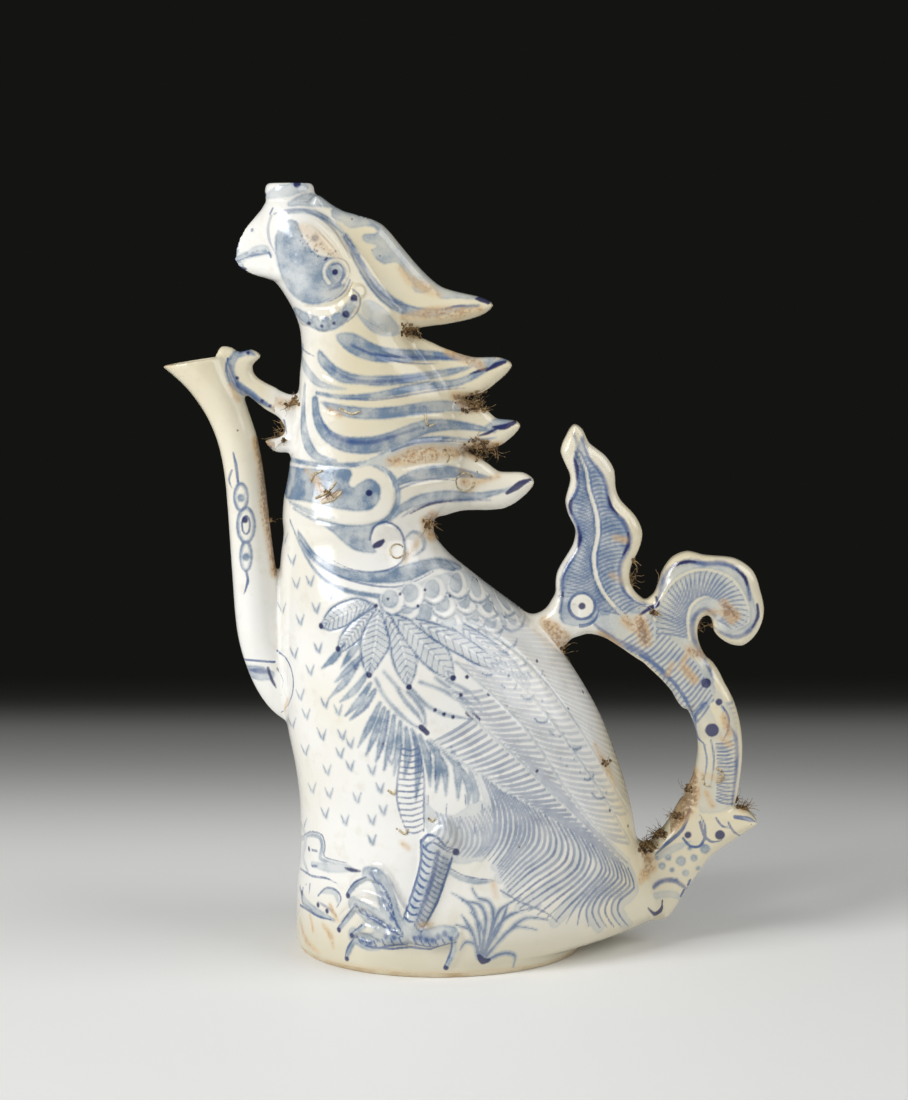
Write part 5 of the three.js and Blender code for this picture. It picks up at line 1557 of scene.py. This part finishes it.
for rim in (LEAF_LEFT, LEAF_RIGHT, CURL_OUTER, ARM_OUTER, ARM_INNER):
    press("tail", 2.4, 0.35, rim)
press("tail", 2.2, -0.4, LEAF_RIB)
press("tail", 7.5, 0.3, [(582, 608), (583, 608)], FULL)
press("tail", 5.5, 0.3, [(712, 730), (713, 730)], FULL)
print("pressed strokes:", len(pressed))

# %% Press the relief into the skin
PRESS_EDGE, PRESS_FADE = 0.45, 1.1
SIDEWAYS_START, SIDEWAYS_FADE = 0.15, 0.35
places = corner_places(skin.data)
normals = np.empty(len(places) * 3, dtype=np.float32)
skin.data.vertices.foreach_get("normal", normals)
normals = normals.reshape(-1, 3).astype(float)
rise = np.zeros(len(places))
reliefs = {name: [mark for sheet, mark in pressed if sheet == name] for name in marks}
for _, depth, held, inside in each_mark(places, reliefs):
    share = np.clip((inside + PRESS_EDGE) / PRESS_FADE, 0, 1)
    change = depth * share * share * (3 - 2 * share)
    rise[held] = np.where(np.abs(change) > np.abs(rise[held]), change, rise[held])
side_on = np.clip((np.abs(normals[:, 1]) - SIDEWAYS_START) / SIDEWAYS_FADE, 0, 1)
places += normals * (rise * side_on * MM)[:, None]
skin.data.vertices.foreach_set("co", places.astype(np.float32).ravel())
skin.data.update()
print("pressed corners:", int((rise != 0).sum()), "deepest mm:", round(float(rise.min()), 2))

# %% [markdown]
# ## What the sea left
# Roots, grit and small worm tubes sit in the deepest corners: under the comb, between the plumes, in
# the bow and at the strut. Roots are thin bent rods and grit is small knobbed lumps, both strewn from
# one seed round the places seen in the photo. The worm tubes are placed one by one.

# %% Where things grow
GROWTH = [
    ((409, 330), 11, 44), ((475, 404), 16, 80), ((483, 449), 18, 90), ((428, 524), 7, 20),
    ((641, 578), 6, 22), ((703, 624), 6, 24), ((647, 846), 12, 60), ((744, 803), 10, 44),
    ((292, 402), 7, 24), ((276, 428), 6, 20), ((660, 834), 10, 44), ((676, 815), 6, 26), ((688, 790), 5, 14),
    ((633, 560), 4, 8), ((655, 612), 5, 10), ((270, 520), 4, 5), ((566, 650), 5, 8), ((605, 762), 6, 8),
    ((328, 494), 5, 9), ((284, 440), 4, 8),
]
WORMS = [
    [(703, 774), (704, 784), (710, 786)], [(716, 768), (722, 772), (722, 780), (716, 782)],
    [(425, 414), (428, 426), (434, 424)], [(444, 449), (450, 456), (447, 462)],
    [(388, 790), (394, 794), (396, 790)], [(399, 830), (405, 834), (408, 829)],
    [(428, 818), (433, 822), (436, 818)], [(340, 408), (352, 414), (360, 411)],
    [(316, 498), (328, 492), (336, 482)], [(311, 482), (315, 474), (323, 471)],
    [(322, 503), (333, 500), (342, 491)],
]
RING_WORMS = [((397, 551), 7), ((465, 482), 9)]
print("clumps:", len(GROWTH), "worm tubes:", len(WORMS) + len(RING_WORMS))

# %% Grow roots, grit and worm tubes
RING_STEPS = 20
SPREAD_ACROSS, SPREAD_DOWN = 2.6, 3.2
KNOB_SIZES, KNOB_DENTS, KNOB_RISE = (0.25, 0.75), (0.7, 1.25), 0.4
STRAND_CHANCE, STRAND_JOINTS, STRAND_SPANS, STRAND_WIDTHS = 0.8, (3, 5, 7), (0.5, 1.1), (0.09, 0.17)
WORM_RADIUS, RING_RADIUS = 0.42 * MM, 0.36 * MM
luck = random.Random(11)


def tube(shape, line, radius, sides=5, tip=0.4):
    """A closed rod along a line of places."""
    rim = None
    for index, place in enumerate(line):
        way = (line[min(index + 1, len(line) - 1)] - line[max(index - 1, 0)]).normalized()
        across = way.orthogonal().normalized()
        over = way.cross(across)
        share = index / (len(line) - 1)
        size = radius * (1 - (1 - tip) * share)
        loop = [shape.verts.new(place + (across * math.cos(turn) + over * math.sin(turn)) * size)
                for turn in (2 * math.pi * side / sides for side in range(sides))]
        if rim is None:
            shape.faces.new(loop[::-1])
        else:
            for side in range(sides):
                following = (side + 1) % sides
                shape.faces.new((rim[side], rim[following], loop[following], loop[side]))
        rim = loop
    shape.faces.new(rim)


def spot(pixel):
    """The place and the outward direction at a pixel of the left flank."""
    place = touch(pixel)
    found, near, normal, _ = skin.closest_point_on_mesh(place)
    return (near, normal) if found else (place, Vector((0, -1, 0)))


def scatter(reach):
    return Vector([luck.uniform(-1, 1) for _ in range(3)]) * reach


roots, grit, worms = bmesh.new(), bmesh.new(), bmesh.new()
for pixel, spread, count in GROWTH:
    for _ in range(count):
        near, normal = spot((pixel[0] + luck.gauss(0, spread / SPREAD_ACROSS),
                             pixel[1] + luck.gauss(0, spread / SPREAD_DOWN)))
        size = luck.uniform(*KNOB_SIZES) * MM
        knob = bmesh.ops.create_icosphere(grit, subdivisions=1, radius=size)["verts"]
        for corner in knob:
            corner.co = corner.co * luck.uniform(*KNOB_DENTS) + near + normal * size * KNOB_RISE
        if luck.random() < STRAND_CHANCE:
            line = [near - normal * 0.2 * MM]
            way = (normal + scatter(0.9)).normalized()
            for _ in range(luck.choice(STRAND_JOINTS)):
                way = (way + scatter(0.5)).normalized()
                line.append(line[-1] + way * luck.uniform(*STRAND_SPANS) * MM)
            tube(roots, line, luck.uniform(*STRAND_WIDTHS) * MM, 4)
for pixels in WORMS:
    line = []
    for pixel in smooth_line(pixels, 4):
        near, normal = spot(pixel)
        line.append(near + normal * 0.15 * MM)
    tube(worms, line, WORM_RADIUS, 6, 0.8)
for (x, z), reach in RING_WORMS:
    line = []
    for step in range(RING_STEPS - 1):
        turn = step * math.pi * 2 / RING_STEPS
        near, normal = spot((x + reach * math.cos(turn), z + reach * math.sin(turn)))
        line.append(near + normal * 0.05 * MM)
    tube(worms, line, RING_RADIUS, 6, 0.8)
growths = {}
for name, shape in (("roots", roots), ("grit", grit), ("worm_tubes", worms)):
    bmesh.ops.recalc_face_normals(shape, faces=shape.faces)
    mesh = bpy.data.meshes.new(name)
    shape.to_mesh(mesh)
    shape.free()
    mesh.shade_smooth()
    growths[name] = bpy.data.objects.new(name, mesh)
    bpy.context.scene.collection.objects.link(growths[name])
    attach(growths[name], "root")
    print(name, len(mesh.polygons), "faces")

# %% [markdown]
# ## Cut the skin into pieces again
# The piece is one fired body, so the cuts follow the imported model's own pieces and are closed walls
# that never show: two body halves with their legs, the neck with its plumes, the head with comb and
# mouth, the spout with its strut, the tail, and the bare rim that the pot stands on.

# %% Cut the pieces
FAR = 0.3


def oblong(left, low, right, high):
    return [(left, low), (right, low), (right, high), (left, high)]


PIECE_CUTS = {
    "floor": (oblong(-FAR, -FAR, FAR, FOOT_CUT), (-FAR, FAR), ["floor_slab"]),
    "body_left": (BODY_REGION, (-FAR, 0), ["body_left_half", "left_leg"]),
    "body_right": (BODY_REGION, (0, FAR), ["body_right_half", "right_leg"]),
    "neck": (oblong(SPOUT_PLANE, NECK_CUT, TAIL_PLANE, HEAD_CUT), (-FAR, FAR),
             ["neck_left_half", "neck_right_half",
              "nape_plume_upper", "nape_plume_middle", "nape_plume_lower"]),
    "head": (oblong(-FAR, HEAD_CUT, TAIL_PLANE, FAR), (-FAR, FAR),
             ["head_left_half", "head_right_half", "comb_crest", "filler_collar"]),
    "spout": (SPOUT_REGION, (-FAR, FAR), ["spout_tube", "spout_strut"]),
    "tail": (TAIL_REGION, (-FAR, FAR),
             ["handle_root", "tail_leaf", "tail_curl", "handle_bow", "fishtail_bracket"]),
}
pieces = {}
for name, (outline, (near, far), nodes) in PIECE_CUTS.items():
    prism = loft("prism", [[(x, y, z) for x, z in outline] for y in (near, far)])
    piece = skin.copy()
    piece.data = skin.data.copy()
    piece.name = name
    bpy.context.scene.collection.objects.link(piece)
    add_boolean(piece, "INTERSECT", prism)
    settle(piece)
    bpy.data.objects.remove(prism)
    pieces[name] = piece
    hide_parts(*nodes)
    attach(piece, "root")
    print(f"{name}: {sum(len(face.vertices) - 2 for face in piece.data.polygons)} triangles")
for used in [*forms.objects, *bores.objects, skin]:
    bpy.data.objects.remove(used)

# %% [markdown]
# ## From strokes to pigment
# Each corner of the clay keeps how deep it lies inside the nearest stroke of each colour, in
# millimetres. The glaze turns those depths into soft-edged cobalt, so no picture is needed.

# %% Lay the pigment on the pieces
LAYERS = ("wash", "deep", "line", "ink")
STAIN_EDGE, STAIN_FADE = 1.5, 3.2


def lay_pigment(piece):
    """Writes the depths as attributes of the piece and tells what share of it a line covers."""
    places = corner_places(piece.data)
    fields = {layer: np.full(len(places), -REACH) for layer in LAYERS}
    tones = {layer: np.zeros(len(places)) for layer in ("wash", "line")}
    stained = np.zeros(len(places))
    for layer, tone, held, inside in each_mark(places, marks):
        if layer == "stain":
            share = np.clip((inside + STAIN_EDGE) / STAIN_FADE, 0, 1)
            stained[held] = np.maximum(stained[held], tone * share * share * (3 - 2 * share))
        elif layer == "keep":
            for free in fields:
                fields[free][held] = np.minimum(fields[free][held], -inside)
        else:
            stronger = inside > fields[layer][held]
            fields[layer][held[stronger]] = inside[stronger]
            if layer in tones:
                tones[layer][held[stronger]] = tone
    for name, values in [*fields.items(), ("wash_tone", tones["wash"]), ("line_tone", tones["line"]),
                         ("stain", stained)]:
        kept = piece.data.attributes.new(name, "FLOAT", "POINT")
        kept.data.foreach_set("value", values.astype(np.float32))
    return float((fields["line"] > 0).mean())


for name, piece in pieces.items():
    print(f"{name}: {lay_pigment(piece):.0%} of its corners lie under a line")

# %% [markdown]
# ## Cobalt under clear glaze
# The body is warm ivory. A darker cream on the neck plumes and the tail, partly the glaze's own tint and
# partly painted shade, and a darker ivory towards the foot, which is painted shade, are mixed into it. Washes
# let it through and gather at their edges, lines are firmer, and the darkest accents are almost black. The
# glaze lies unevenly; iron stains and pinholes break it.

# %% Node helpers
def srgb(red, green, blue):
    """A colour given in the eight-bit values that a screen shows."""
    shares = np.array([red, green, blue]) / 255
    linear = np.where(shares <= 0.04045, shares / 12.92, ((shares + 0.055) / 1.055) ** 2.4)
    return (*linear.tolist(), 1.0)


class Recipe:
    """Builds a node tree from short calls."""

    def __init__(self, tree):
        self.tree = tree

    def add(self, kind, inputs=None, output=0, **settings):
        node = self.tree.nodes.new("ShaderNode" + kind)
        for name, value in settings.items():
            setattr(node, name, value)
        for key, value in (inputs or {}).items():
            if isinstance(value, bpy.types.NodeSocket):
                self.tree.links.new(value, node.inputs[key])
            else:
                node.inputs[key].default_value = value
        return node.outputs[output]

    def math(self, operation, *values, clamp=False):
        return self.add("Math", dict(enumerate(values)), operation=operation, use_clamp=clamp)

    def noise(self, place, scale, detail=3.0, rough=0.55):
        return self.add("TexNoise", {"Vector": place, "Scale": scale, "Detail": detail, "Roughness": rough})

    def ramp(self, value, low, high, start=0.0, end=1.0):
        """A smooth step from one value to another."""
        return self.add("MapRange", {"Value": value, "From Min": low, "From Max": high, "To Min": start,
                                     "To Max": end}, interpolation_type="SMOOTHSTEP")

    def mix(self, share, first, second):
        """One colour over another; the numbers are the colour sockets of a Mix node."""
        return self.add("Mix", {0: share, 6: first, 7: second}, output=2, data_type="RGBA")

    def field(self, name):
        return self.add("Attribute", output=2, attribute_name=name, attribute_type="GEOMETRY")

    def place(self):
        """Object coordinates, so that a pattern stays on its piece."""
        return self.add("TexCoord", output=3)


CLAY_OUTPUTS = {"Color": "Color", "Roughness": "Float", "Height": "Float"}


def new_group(name, outputs, inputs):
    """A node group with named sockets, each a Color or a Float, and the recipe that fills it."""
    group = bpy.data.node_groups.new(name, "ShaderNodeTree")
    for way, sockets in (("OUTPUT", outputs), ("INPUT", inputs)):
        for socket, kind in sockets.items():
            group.interface.new_socket(socket, in_out=way, socket_type="NodeSocket" + kind)
    return group, Recipe(group)


def put_out(group, **outputs):
    """Links values to the outputs of a group."""
    result = group.nodes.new("NodeGroupOutput")
    for key, value in outputs.items():
        group.links.new(value, result.inputs[key])
    print(f"{group.name}: {len(group.nodes)} nodes")


# The cream ivory is partly the glaze's warmer tint and partly painted shade for the half-shaded neck plumes
# and tail.
IVORY_WHITE, IVORY_CREAM_SHADE, IVORY_FOOT_SHADE = srgb(242, 241, 236), srgb(226, 215, 184), srgb(206, 196, 164)
IVORY_CLOUD, IVORY_GREY = srgb(232, 225, 204), srgb(214, 206, 186)
WASH_PALE, WASH_STRONG = srgb(167, 180, 190), srgb(112, 134, 158)
LINE_BLUE, DEEP_BLUE, INK_BLUE = srgb(68, 96, 142), srgb(54, 82, 136), srgb(22, 30, 88)
STAIN_GLOW, STAIN_LIGHT, STAIN_DARK = srgb(214, 178, 122), srgb(190, 140, 82), srgb(118, 78, 44)
PINHOLE_BROWN = srgb(96, 72, 48)
FOOT_SHADE_LEVELS, NECK_CREAM_SHADE, TAIL_SHADE = (0.003, 0.03), (0.125, 0.19), (0.046, 0.062)
FACE_RISES, FACE_ENDS, BEAK_ENDS = (0.2, 0.215), (-0.046, -0.026), (-0.058, -0.052)
GLAZE_COAT, GLAZE_BUMP, CLAY_BUMP = 0.5, 0.0009, 0.0003

# %% Painted glaze
BROAD_SCALE, FLOW_SCALE, FINE_SCALE, GRAIN_SCALE, PINHOLE_SCALE = 22, 160, 900, 2600, 230
group, mix = new_group("painted glaze", CLAY_OUTPUTS, {})
place = mix.place()
broad = mix.noise(place, BROAD_SCALE, 3)
flow = mix.noise(place, FLOW_SCALE, 4)
fine = mix.noise(place, FINE_SCALE, 4)
grain = mix.noise(place, GRAIN_SCALE, 2, 0.7)
wobble = mix.math("MULTIPLY_ADD", fine, 0.7, -0.35)
height_up = mix.add("SeparateXYZ", {"Vector": place}, output=2)
towards_tail = mix.add("SeparateXYZ", {"Vector": place}, output=0)
# Painted shade: the neck plumes, by height, and the tail, towards the back, turn a darker cream that stands
# in for their half-shade; the face and the beak stay white.
face_white = mix.math("MAXIMUM", mix.ramp(height_up, *FACE_RISES), mix.ramp(towards_tail, *BEAK_ENDS))
pale_front = mix.math("MULTIPLY", mix.ramp(towards_tail, *FACE_ENDS, 1, 0), face_white)
cream_and_shade = mix.math("MULTIPLY", mix.ramp(height_up, *NECK_CREAM_SHADE), mix.math("SUBTRACT", 1.0, pale_front))
cream_and_shade = mix.math("MAXIMUM", cream_and_shade, mix.ramp(towards_tail, *TAIL_SHADE))
ivory = mix.mix(cream_and_shade, IVORY_WHITE, IVORY_CREAM_SHADE)
# Painted shade: the ivory turns darker towards the foot, where less light reaches it near the table.
ivory = mix.mix(mix.ramp(height_up, *FOOT_SHADE_LEVELS, 0.8, 0), ivory, IVORY_FOOT_SHADE)
ivory = mix.mix(mix.ramp(broad, 0.4, 0.7, 0, 0.5), ivory, IVORY_CLOUD)
ivory = mix.mix(mix.ramp(flow, 0.52, 0.75, 0, 0.35), ivory, IVORY_GREY)
print("ivory ground:", len(group.nodes), "nodes")

# %% [markdown]
# A wash is thickest in a pool along its edge and lets the ivory through inside. Its strength follows
# the brush's tone, the flow of the glaze and the grain of the ground cobalt.

# %% Washes
wash_depth = mix.math("ADD", mix.field("wash"), wobble)
wash_cover = mix.ramp(wash_depth, -0.75, 0.5)
pool = mix.math("MULTIPLY", mix.ramp(wash_depth, -0.35, 0.15), mix.ramp(wash_depth, 0.2, 0.8, 1, 0))
density = mix.math("MULTIPLY", mix.field("wash_tone"), mix.ramp(flow, 0.3, 0.7, 0.75, 1.25))
density = mix.math("MULTIPLY_ADD", grain, 0.35, mix.math("SUBTRACT", density, 0.17))
density = mix.math("MULTIPLY_ADD", pool, 0.12, density)
wash = mix.math("MULTIPLY", wash_cover, density, clamp=True)
colour = mix.mix(wash, ivory, mix.mix(mix.ramp(density, 0.45, 1.0), WASH_PALE, WASH_STRONG))
print("with the washes:", len(group.nodes), "nodes")

# %% [markdown]
# Over the washes lie a loaded brush's broad deep strokes, thin lines, and accents that are nearly
# black. Each has a narrower soft edge than the one before.

# %% Deep strokes, lines and ink
deep = mix.math("MULTIPLY", mix.ramp(mix.math("ADD", mix.field("deep"), wobble), -0.6, 0.6),
                mix.ramp(flow, 0.3, 0.7, 0.5, 0.85))
colour = mix.mix(deep, colour, DEEP_BLUE)
thin = mix.math("MULTIPLY_ADD", fine, 0.36, -0.18)
line = mix.math("MULTIPLY", mix.ramp(mix.math("ADD", mix.field("line"), thin), -0.3, 0.12),
                mix.math("MULTIPLY", mix.field("line_tone"), mix.ramp(flow, 0.3, 0.7, 0.8, 1.1)), clamp=True)
colour = mix.mix(line, colour, LINE_BLUE)
ink = mix.ramp(mix.math("ADD", mix.field("ink"), thin), -0.4, 0.25)
colour = mix.mix(mix.math("MULTIPLY", ink, 0.93), colour, INK_BLUE)
print("with strokes, lines and ink:", len(group.nodes), "nodes")

# %% [markdown]
# Iron from the sea glows orange round its brown patches, and a few pinholes in the glaze hold dirt.
# Both, like the lines, also change how rough and how high the surface is.

# %% Stains, pinholes and the glaze's surface
stain = mix.field("stain")
glow = mix.math("MULTIPLY", mix.ramp(stain, 0, 0.6), mix.ramp(flow, 0.3, 0.7, 0.3, 0.75))
colour = mix.mix(glow, colour, STAIN_GLOW)
patchy = mix.ramp(mix.math("ADD", fine, mix.math("MULTIPLY_ADD", stain, 0.5, -0.38)), 0.36, 0.66)
stained = mix.math("MULTIPLY", patchy, mix.ramp(stain, 0.02, 0.25))
darkest = mix.math("MAXIMUM", mix.ramp(grain, 0.4, 0.65), mix.ramp(stain, 0.7, 0.95))
brown = mix.mix(darkest, STAIN_LIGHT, STAIN_DARK)
colour = mix.mix(mix.math("MULTIPLY", stained, 0.7), colour, brown)

cells = mix.add("TexVoronoi", {"Vector": place, "Scale": PINHOLE_SCALE}).node
rare = mix.ramp(mix.add("SeparateColor", {"Color": cells.outputs["Color"]}), 0.93, 0.94)
pinhole = mix.math("MULTIPLY", mix.ramp(cells.outputs["Distance"], 0.05, 0.11, 1, 0), rare)
colour = mix.mix(mix.math("MULTIPLY", pinhole, 0.7), colour, PINHOLE_BROWN)

rough = mix.math("MULTIPLY_ADD", flow, 0.12, 0.1)
rough = mix.math("MULTIPLY_ADD", stained, 0.45, rough)
height = mix.math("MULTIPLY_ADD", broad, 2.2, mix.math("MULTIPLY", flow, 0.5))
height = mix.math("MULTIPLY_ADD", fine, 0.05, height)
height = mix.math("MULTIPLY_ADD", line, -0.06, height)
height = mix.math("MULTIPLY_ADD", pinhole, -0.35, height)
height = mix.math("MULTIPLY_ADD", mix.math("MULTIPLY", stained, grain), 0.3, height)
put_out(group, Color=colour, Roughness=rough, Height=height)

# %% [markdown]
# The group only works out colour, roughness and height. The shader stays in the material, where a
# thin clear coat gives the wet shine of glaze over the paint.

# %% Glazed material
def new_material(name):
    """A material with a Principled surface, and the recipe for its tree."""
    look = bpy.data.materials.new(name)
    look.use_nodes = True
    return look, Recipe(look.node_tree), look.node_tree.nodes["Principled BSDF"]


def raise_bumps(recipe, surface, height, strength, distance):
    """A height in 0 to 1 shapes the surface's normal."""
    normal = recipe.add("Bump", {"Height": height, "Strength": strength, "Distance": distance})
    recipe.tree.links.new(normal, surface.inputs["Normal"])


def glaze_material(name, source, coat, bump_distance):
    look, recipe, surface = new_material(name)
    paint = recipe.add("Group", node_tree=source).node
    for key in ("Color", "Roughness"):
        recipe.tree.links.new(paint.outputs[key], surface.inputs[key.replace("Color", "Base Color")])
    raise_bumps(recipe, surface, paint.outputs["Height"], 0.5, bump_distance)
    surface.inputs["Coat Weight"].default_value = coat
    surface.inputs["Coat Roughness"].default_value = 0.14
    return look


def dress(piece, look, slot):
    """A piece gets its look; the name of its material slot is only printed."""
    piece.data.materials.clear()
    piece.data.materials.append(look)
    print(f"{piece.name}: {look.name}, slot {slot}")


glaze = glaze_material("painted glaze", group, GLAZE_COAT, GLAZE_BUMP)
SLOTS = {"body_left": "ivory_glaze", "body_right": "ivory_glaze", "spout": "ivory_glaze",
         "neck": "plume_glaze", "head": "plume_glaze", "tail": "cobalt_glaze"}
for name, slot in SLOTS.items():
    dress(pieces[name], glaze, slot)

# %% [markdown]
# The rim that stands on the table was wiped free of glaze. It is the same clay, dry and rough, with
# sand and iron in it.

# %% Bare clay
CLAY_PALE, CLAY_BUFF, CLAY_IRON = srgb(216, 205, 178), srgb(196, 174, 138), srgb(132, 100, 66)
clay_group, mix = new_group("bare clay", CLAY_OUTPUTS, {})
place = mix.place()
sand = mix.noise(place, 1800, 4, 0.7)
cloud = mix.noise(place, 90, 3)
colour = mix.mix(mix.ramp(cloud, 0.35, 0.7), CLAY_PALE, CLAY_BUFF)
colour = mix.mix(mix.ramp(sand, 0.6, 0.74, 0, 0.5), colour, CLAY_IRON)
put_out(clay_group, Color=colour, Roughness=mix.ramp(cloud, 0.3, 0.7, 0.72, 0.92), Height=sand)
dress(pieces["floor"], glaze_material("bare clay", clay_group, 0, CLAY_BUMP), "bare_clay")
for piece in pieces.values():
    piece.data.shade_smooth()
    piece.data.set_sharp_from_angle(angle=math.radians(60))

# %% [markdown]
# Roots and grit are dry and brown, from tan to nearly black; the worm tubes are chalk. All three
# are mottled in the same way, so one group does it, and each material gives it its own two colours
# and its own size of mottling.

# %% Growth materials
dry_group, mix = new_group("mottled", {"Color": "Color", "Height": "Float"},
                           {"Pale": "Color", "Dark": "Color", "Scale": "Float"})
given = dry_group.nodes.new("NodeGroupInput").outputs
cloud = mix.noise(mix.place(), given["Scale"], 3, 0.7)
put_out(dry_group, Color=mix.mix(mix.ramp(cloud, 0.38, 0.62), given["Pale"], given["Dark"]), Height=cloud)


def dry_material(name, pale, dark, scale):
    look, recipe, surface = new_material(name)
    mottled = recipe.add("Group", {"Pale": pale, "Dark": dark, "Scale": scale}, node_tree=dry_group).node
    recipe.tree.links.new(mottled.outputs["Color"], surface.inputs["Base Color"])
    raise_bumps(recipe, surface, mottled.outputs["Height"], 0.6, 0.2 * MM)
    surface.inputs["Roughness"].default_value = 0.9
    return look


for name, title, pale, dark, scale in (
        ("roots", "root fibre", srgb(186, 158, 112), srgb(96, 74, 50), 700),
        ("grit", "grit", srgb(158, 126, 84), srgb(66, 49, 34), 500),
        ("worm_tubes", "worm chalk", srgb(220, 208, 178), srgb(160, 140, 104), 900)):
    growths[name].data.materials.append(dry_material(title, pale, dark, scale))

# %% [markdown]
# ## Floor, backdrop, lamps
# The pot stands on a plain pale sheet whose colour turns grey and then dark towards the back, a painted
# falloff of light, and which fades out there. A large soft lamp from the left front gives the bright breast
# and the broad sheen. A wider one from the right has half its power and keeps the shaded tail readable, with
# a low world light that the glaze and the lens don't see.

# %% Stage and light
SHEET_PALE, SHEET_FALLOFF_GREY, SHEET_FALLOFF_DARK = srgb(243, 243, 241), srgb(140, 140, 138), srgb(52, 52, 50)
SHEET_DIMS, SHEET_DARKENS, SHEET_ENDS = (0.08, 0.34), (0.3, 0.46), (0.36, 0.52)
WORLD_LIGHT, DARK_ROOM = (0.2, 0.2, 0.2, 1), srgb(20, 20, 18)
stage_mesh = bpy.data.meshes.new("sheet")
shape = bmesh.new()
bmesh.ops.create_grid(shape, x_segments=1, y_segments=1, size=4)
shape.to_mesh(stage_mesh)
shape.free()
sheet = bpy.data.objects.new("sheet", stage_mesh)
bpy.context.scene.collection.objects.link(sheet)
sheet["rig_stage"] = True
sheet_look, mix, sheet_surface = new_material("pale sheet")
depth = mix.add("SeparateXYZ", {"Vector": mix.place()}, output=1)
# Painted shade: the sheet's colour darkens from pale to grey to dark with depth, standing in for the light
# falling off.
near = mix.mix(mix.ramp(depth, *SHEET_DIMS), SHEET_PALE, SHEET_FALLOFF_GREY)
far = mix.mix(mix.ramp(depth, *SHEET_DARKENS), near, SHEET_FALLOFF_DARK)
sheet_look.node_tree.links.new(far, sheet_surface.inputs["Base Color"])
sheet_look.node_tree.links.new(mix.ramp(depth, *SHEET_ENDS, 1, 0), sheet_surface.inputs["Alpha"])
sheet_surface.inputs["Roughness"].default_value = 0.6
stage_mesh.materials.append(sheet_look)


def softbox(name, place, target, width, height, power):
    """A rectangular lamp of a size in metres and a power in watts, aimed at a target."""
    lamp = bpy.data.lights.new(name, "AREA")
    lamp.shape = "RECTANGLE"
    lamp.size = width
    lamp.size_y = height
    lamp.energy = power
    box = bpy.data.objects.new(name, lamp)
    box.location = place
    box.rotation_euler = (Vector(target) - Vector(place)).to_track_quat("-Z", "Y").to_euler()
    bpy.context.scene.collection.objects.link(box)


BODY_MIDDLE = (0, 0, 0.11)
softbox("key", (-0.95, -0.65, 0.8), BODY_MIDDLE, 0.65, 0.85, 14.8)
softbox("side", (1.0, -0.4, 0.8), BODY_MIDDLE, 1.0, 0.9, 7.6)
world = bpy.data.worlds.new("studio")
world.use_nodes = True
mix = Recipe(world.node_tree)
seen = world.node_tree.nodes.new("ShaderNodeLightPath")
mirrored = mix.math("MAXIMUM", seen.outputs["Is Glossy Ray"], seen.outputs["Is Transmission Ray"])
shown = mix.math("MAXIMUM", seen.outputs["Is Camera Ray"], mirrored)
sky = world.node_tree.nodes["Background"]
world.node_tree.links.new(mix.mix(shown, WORLD_LIGHT, DARK_ROOM), sky.inputs["Color"])
bpy.context.scene.world = world
bpy.context.scene.view_settings.view_transform = "Standard"

visual_low, visual_high = [list(corner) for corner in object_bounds()]
print("dressed box, mm:", [round((high - low) / MM, 1) for low, high in zip(visual_low, visual_high)])
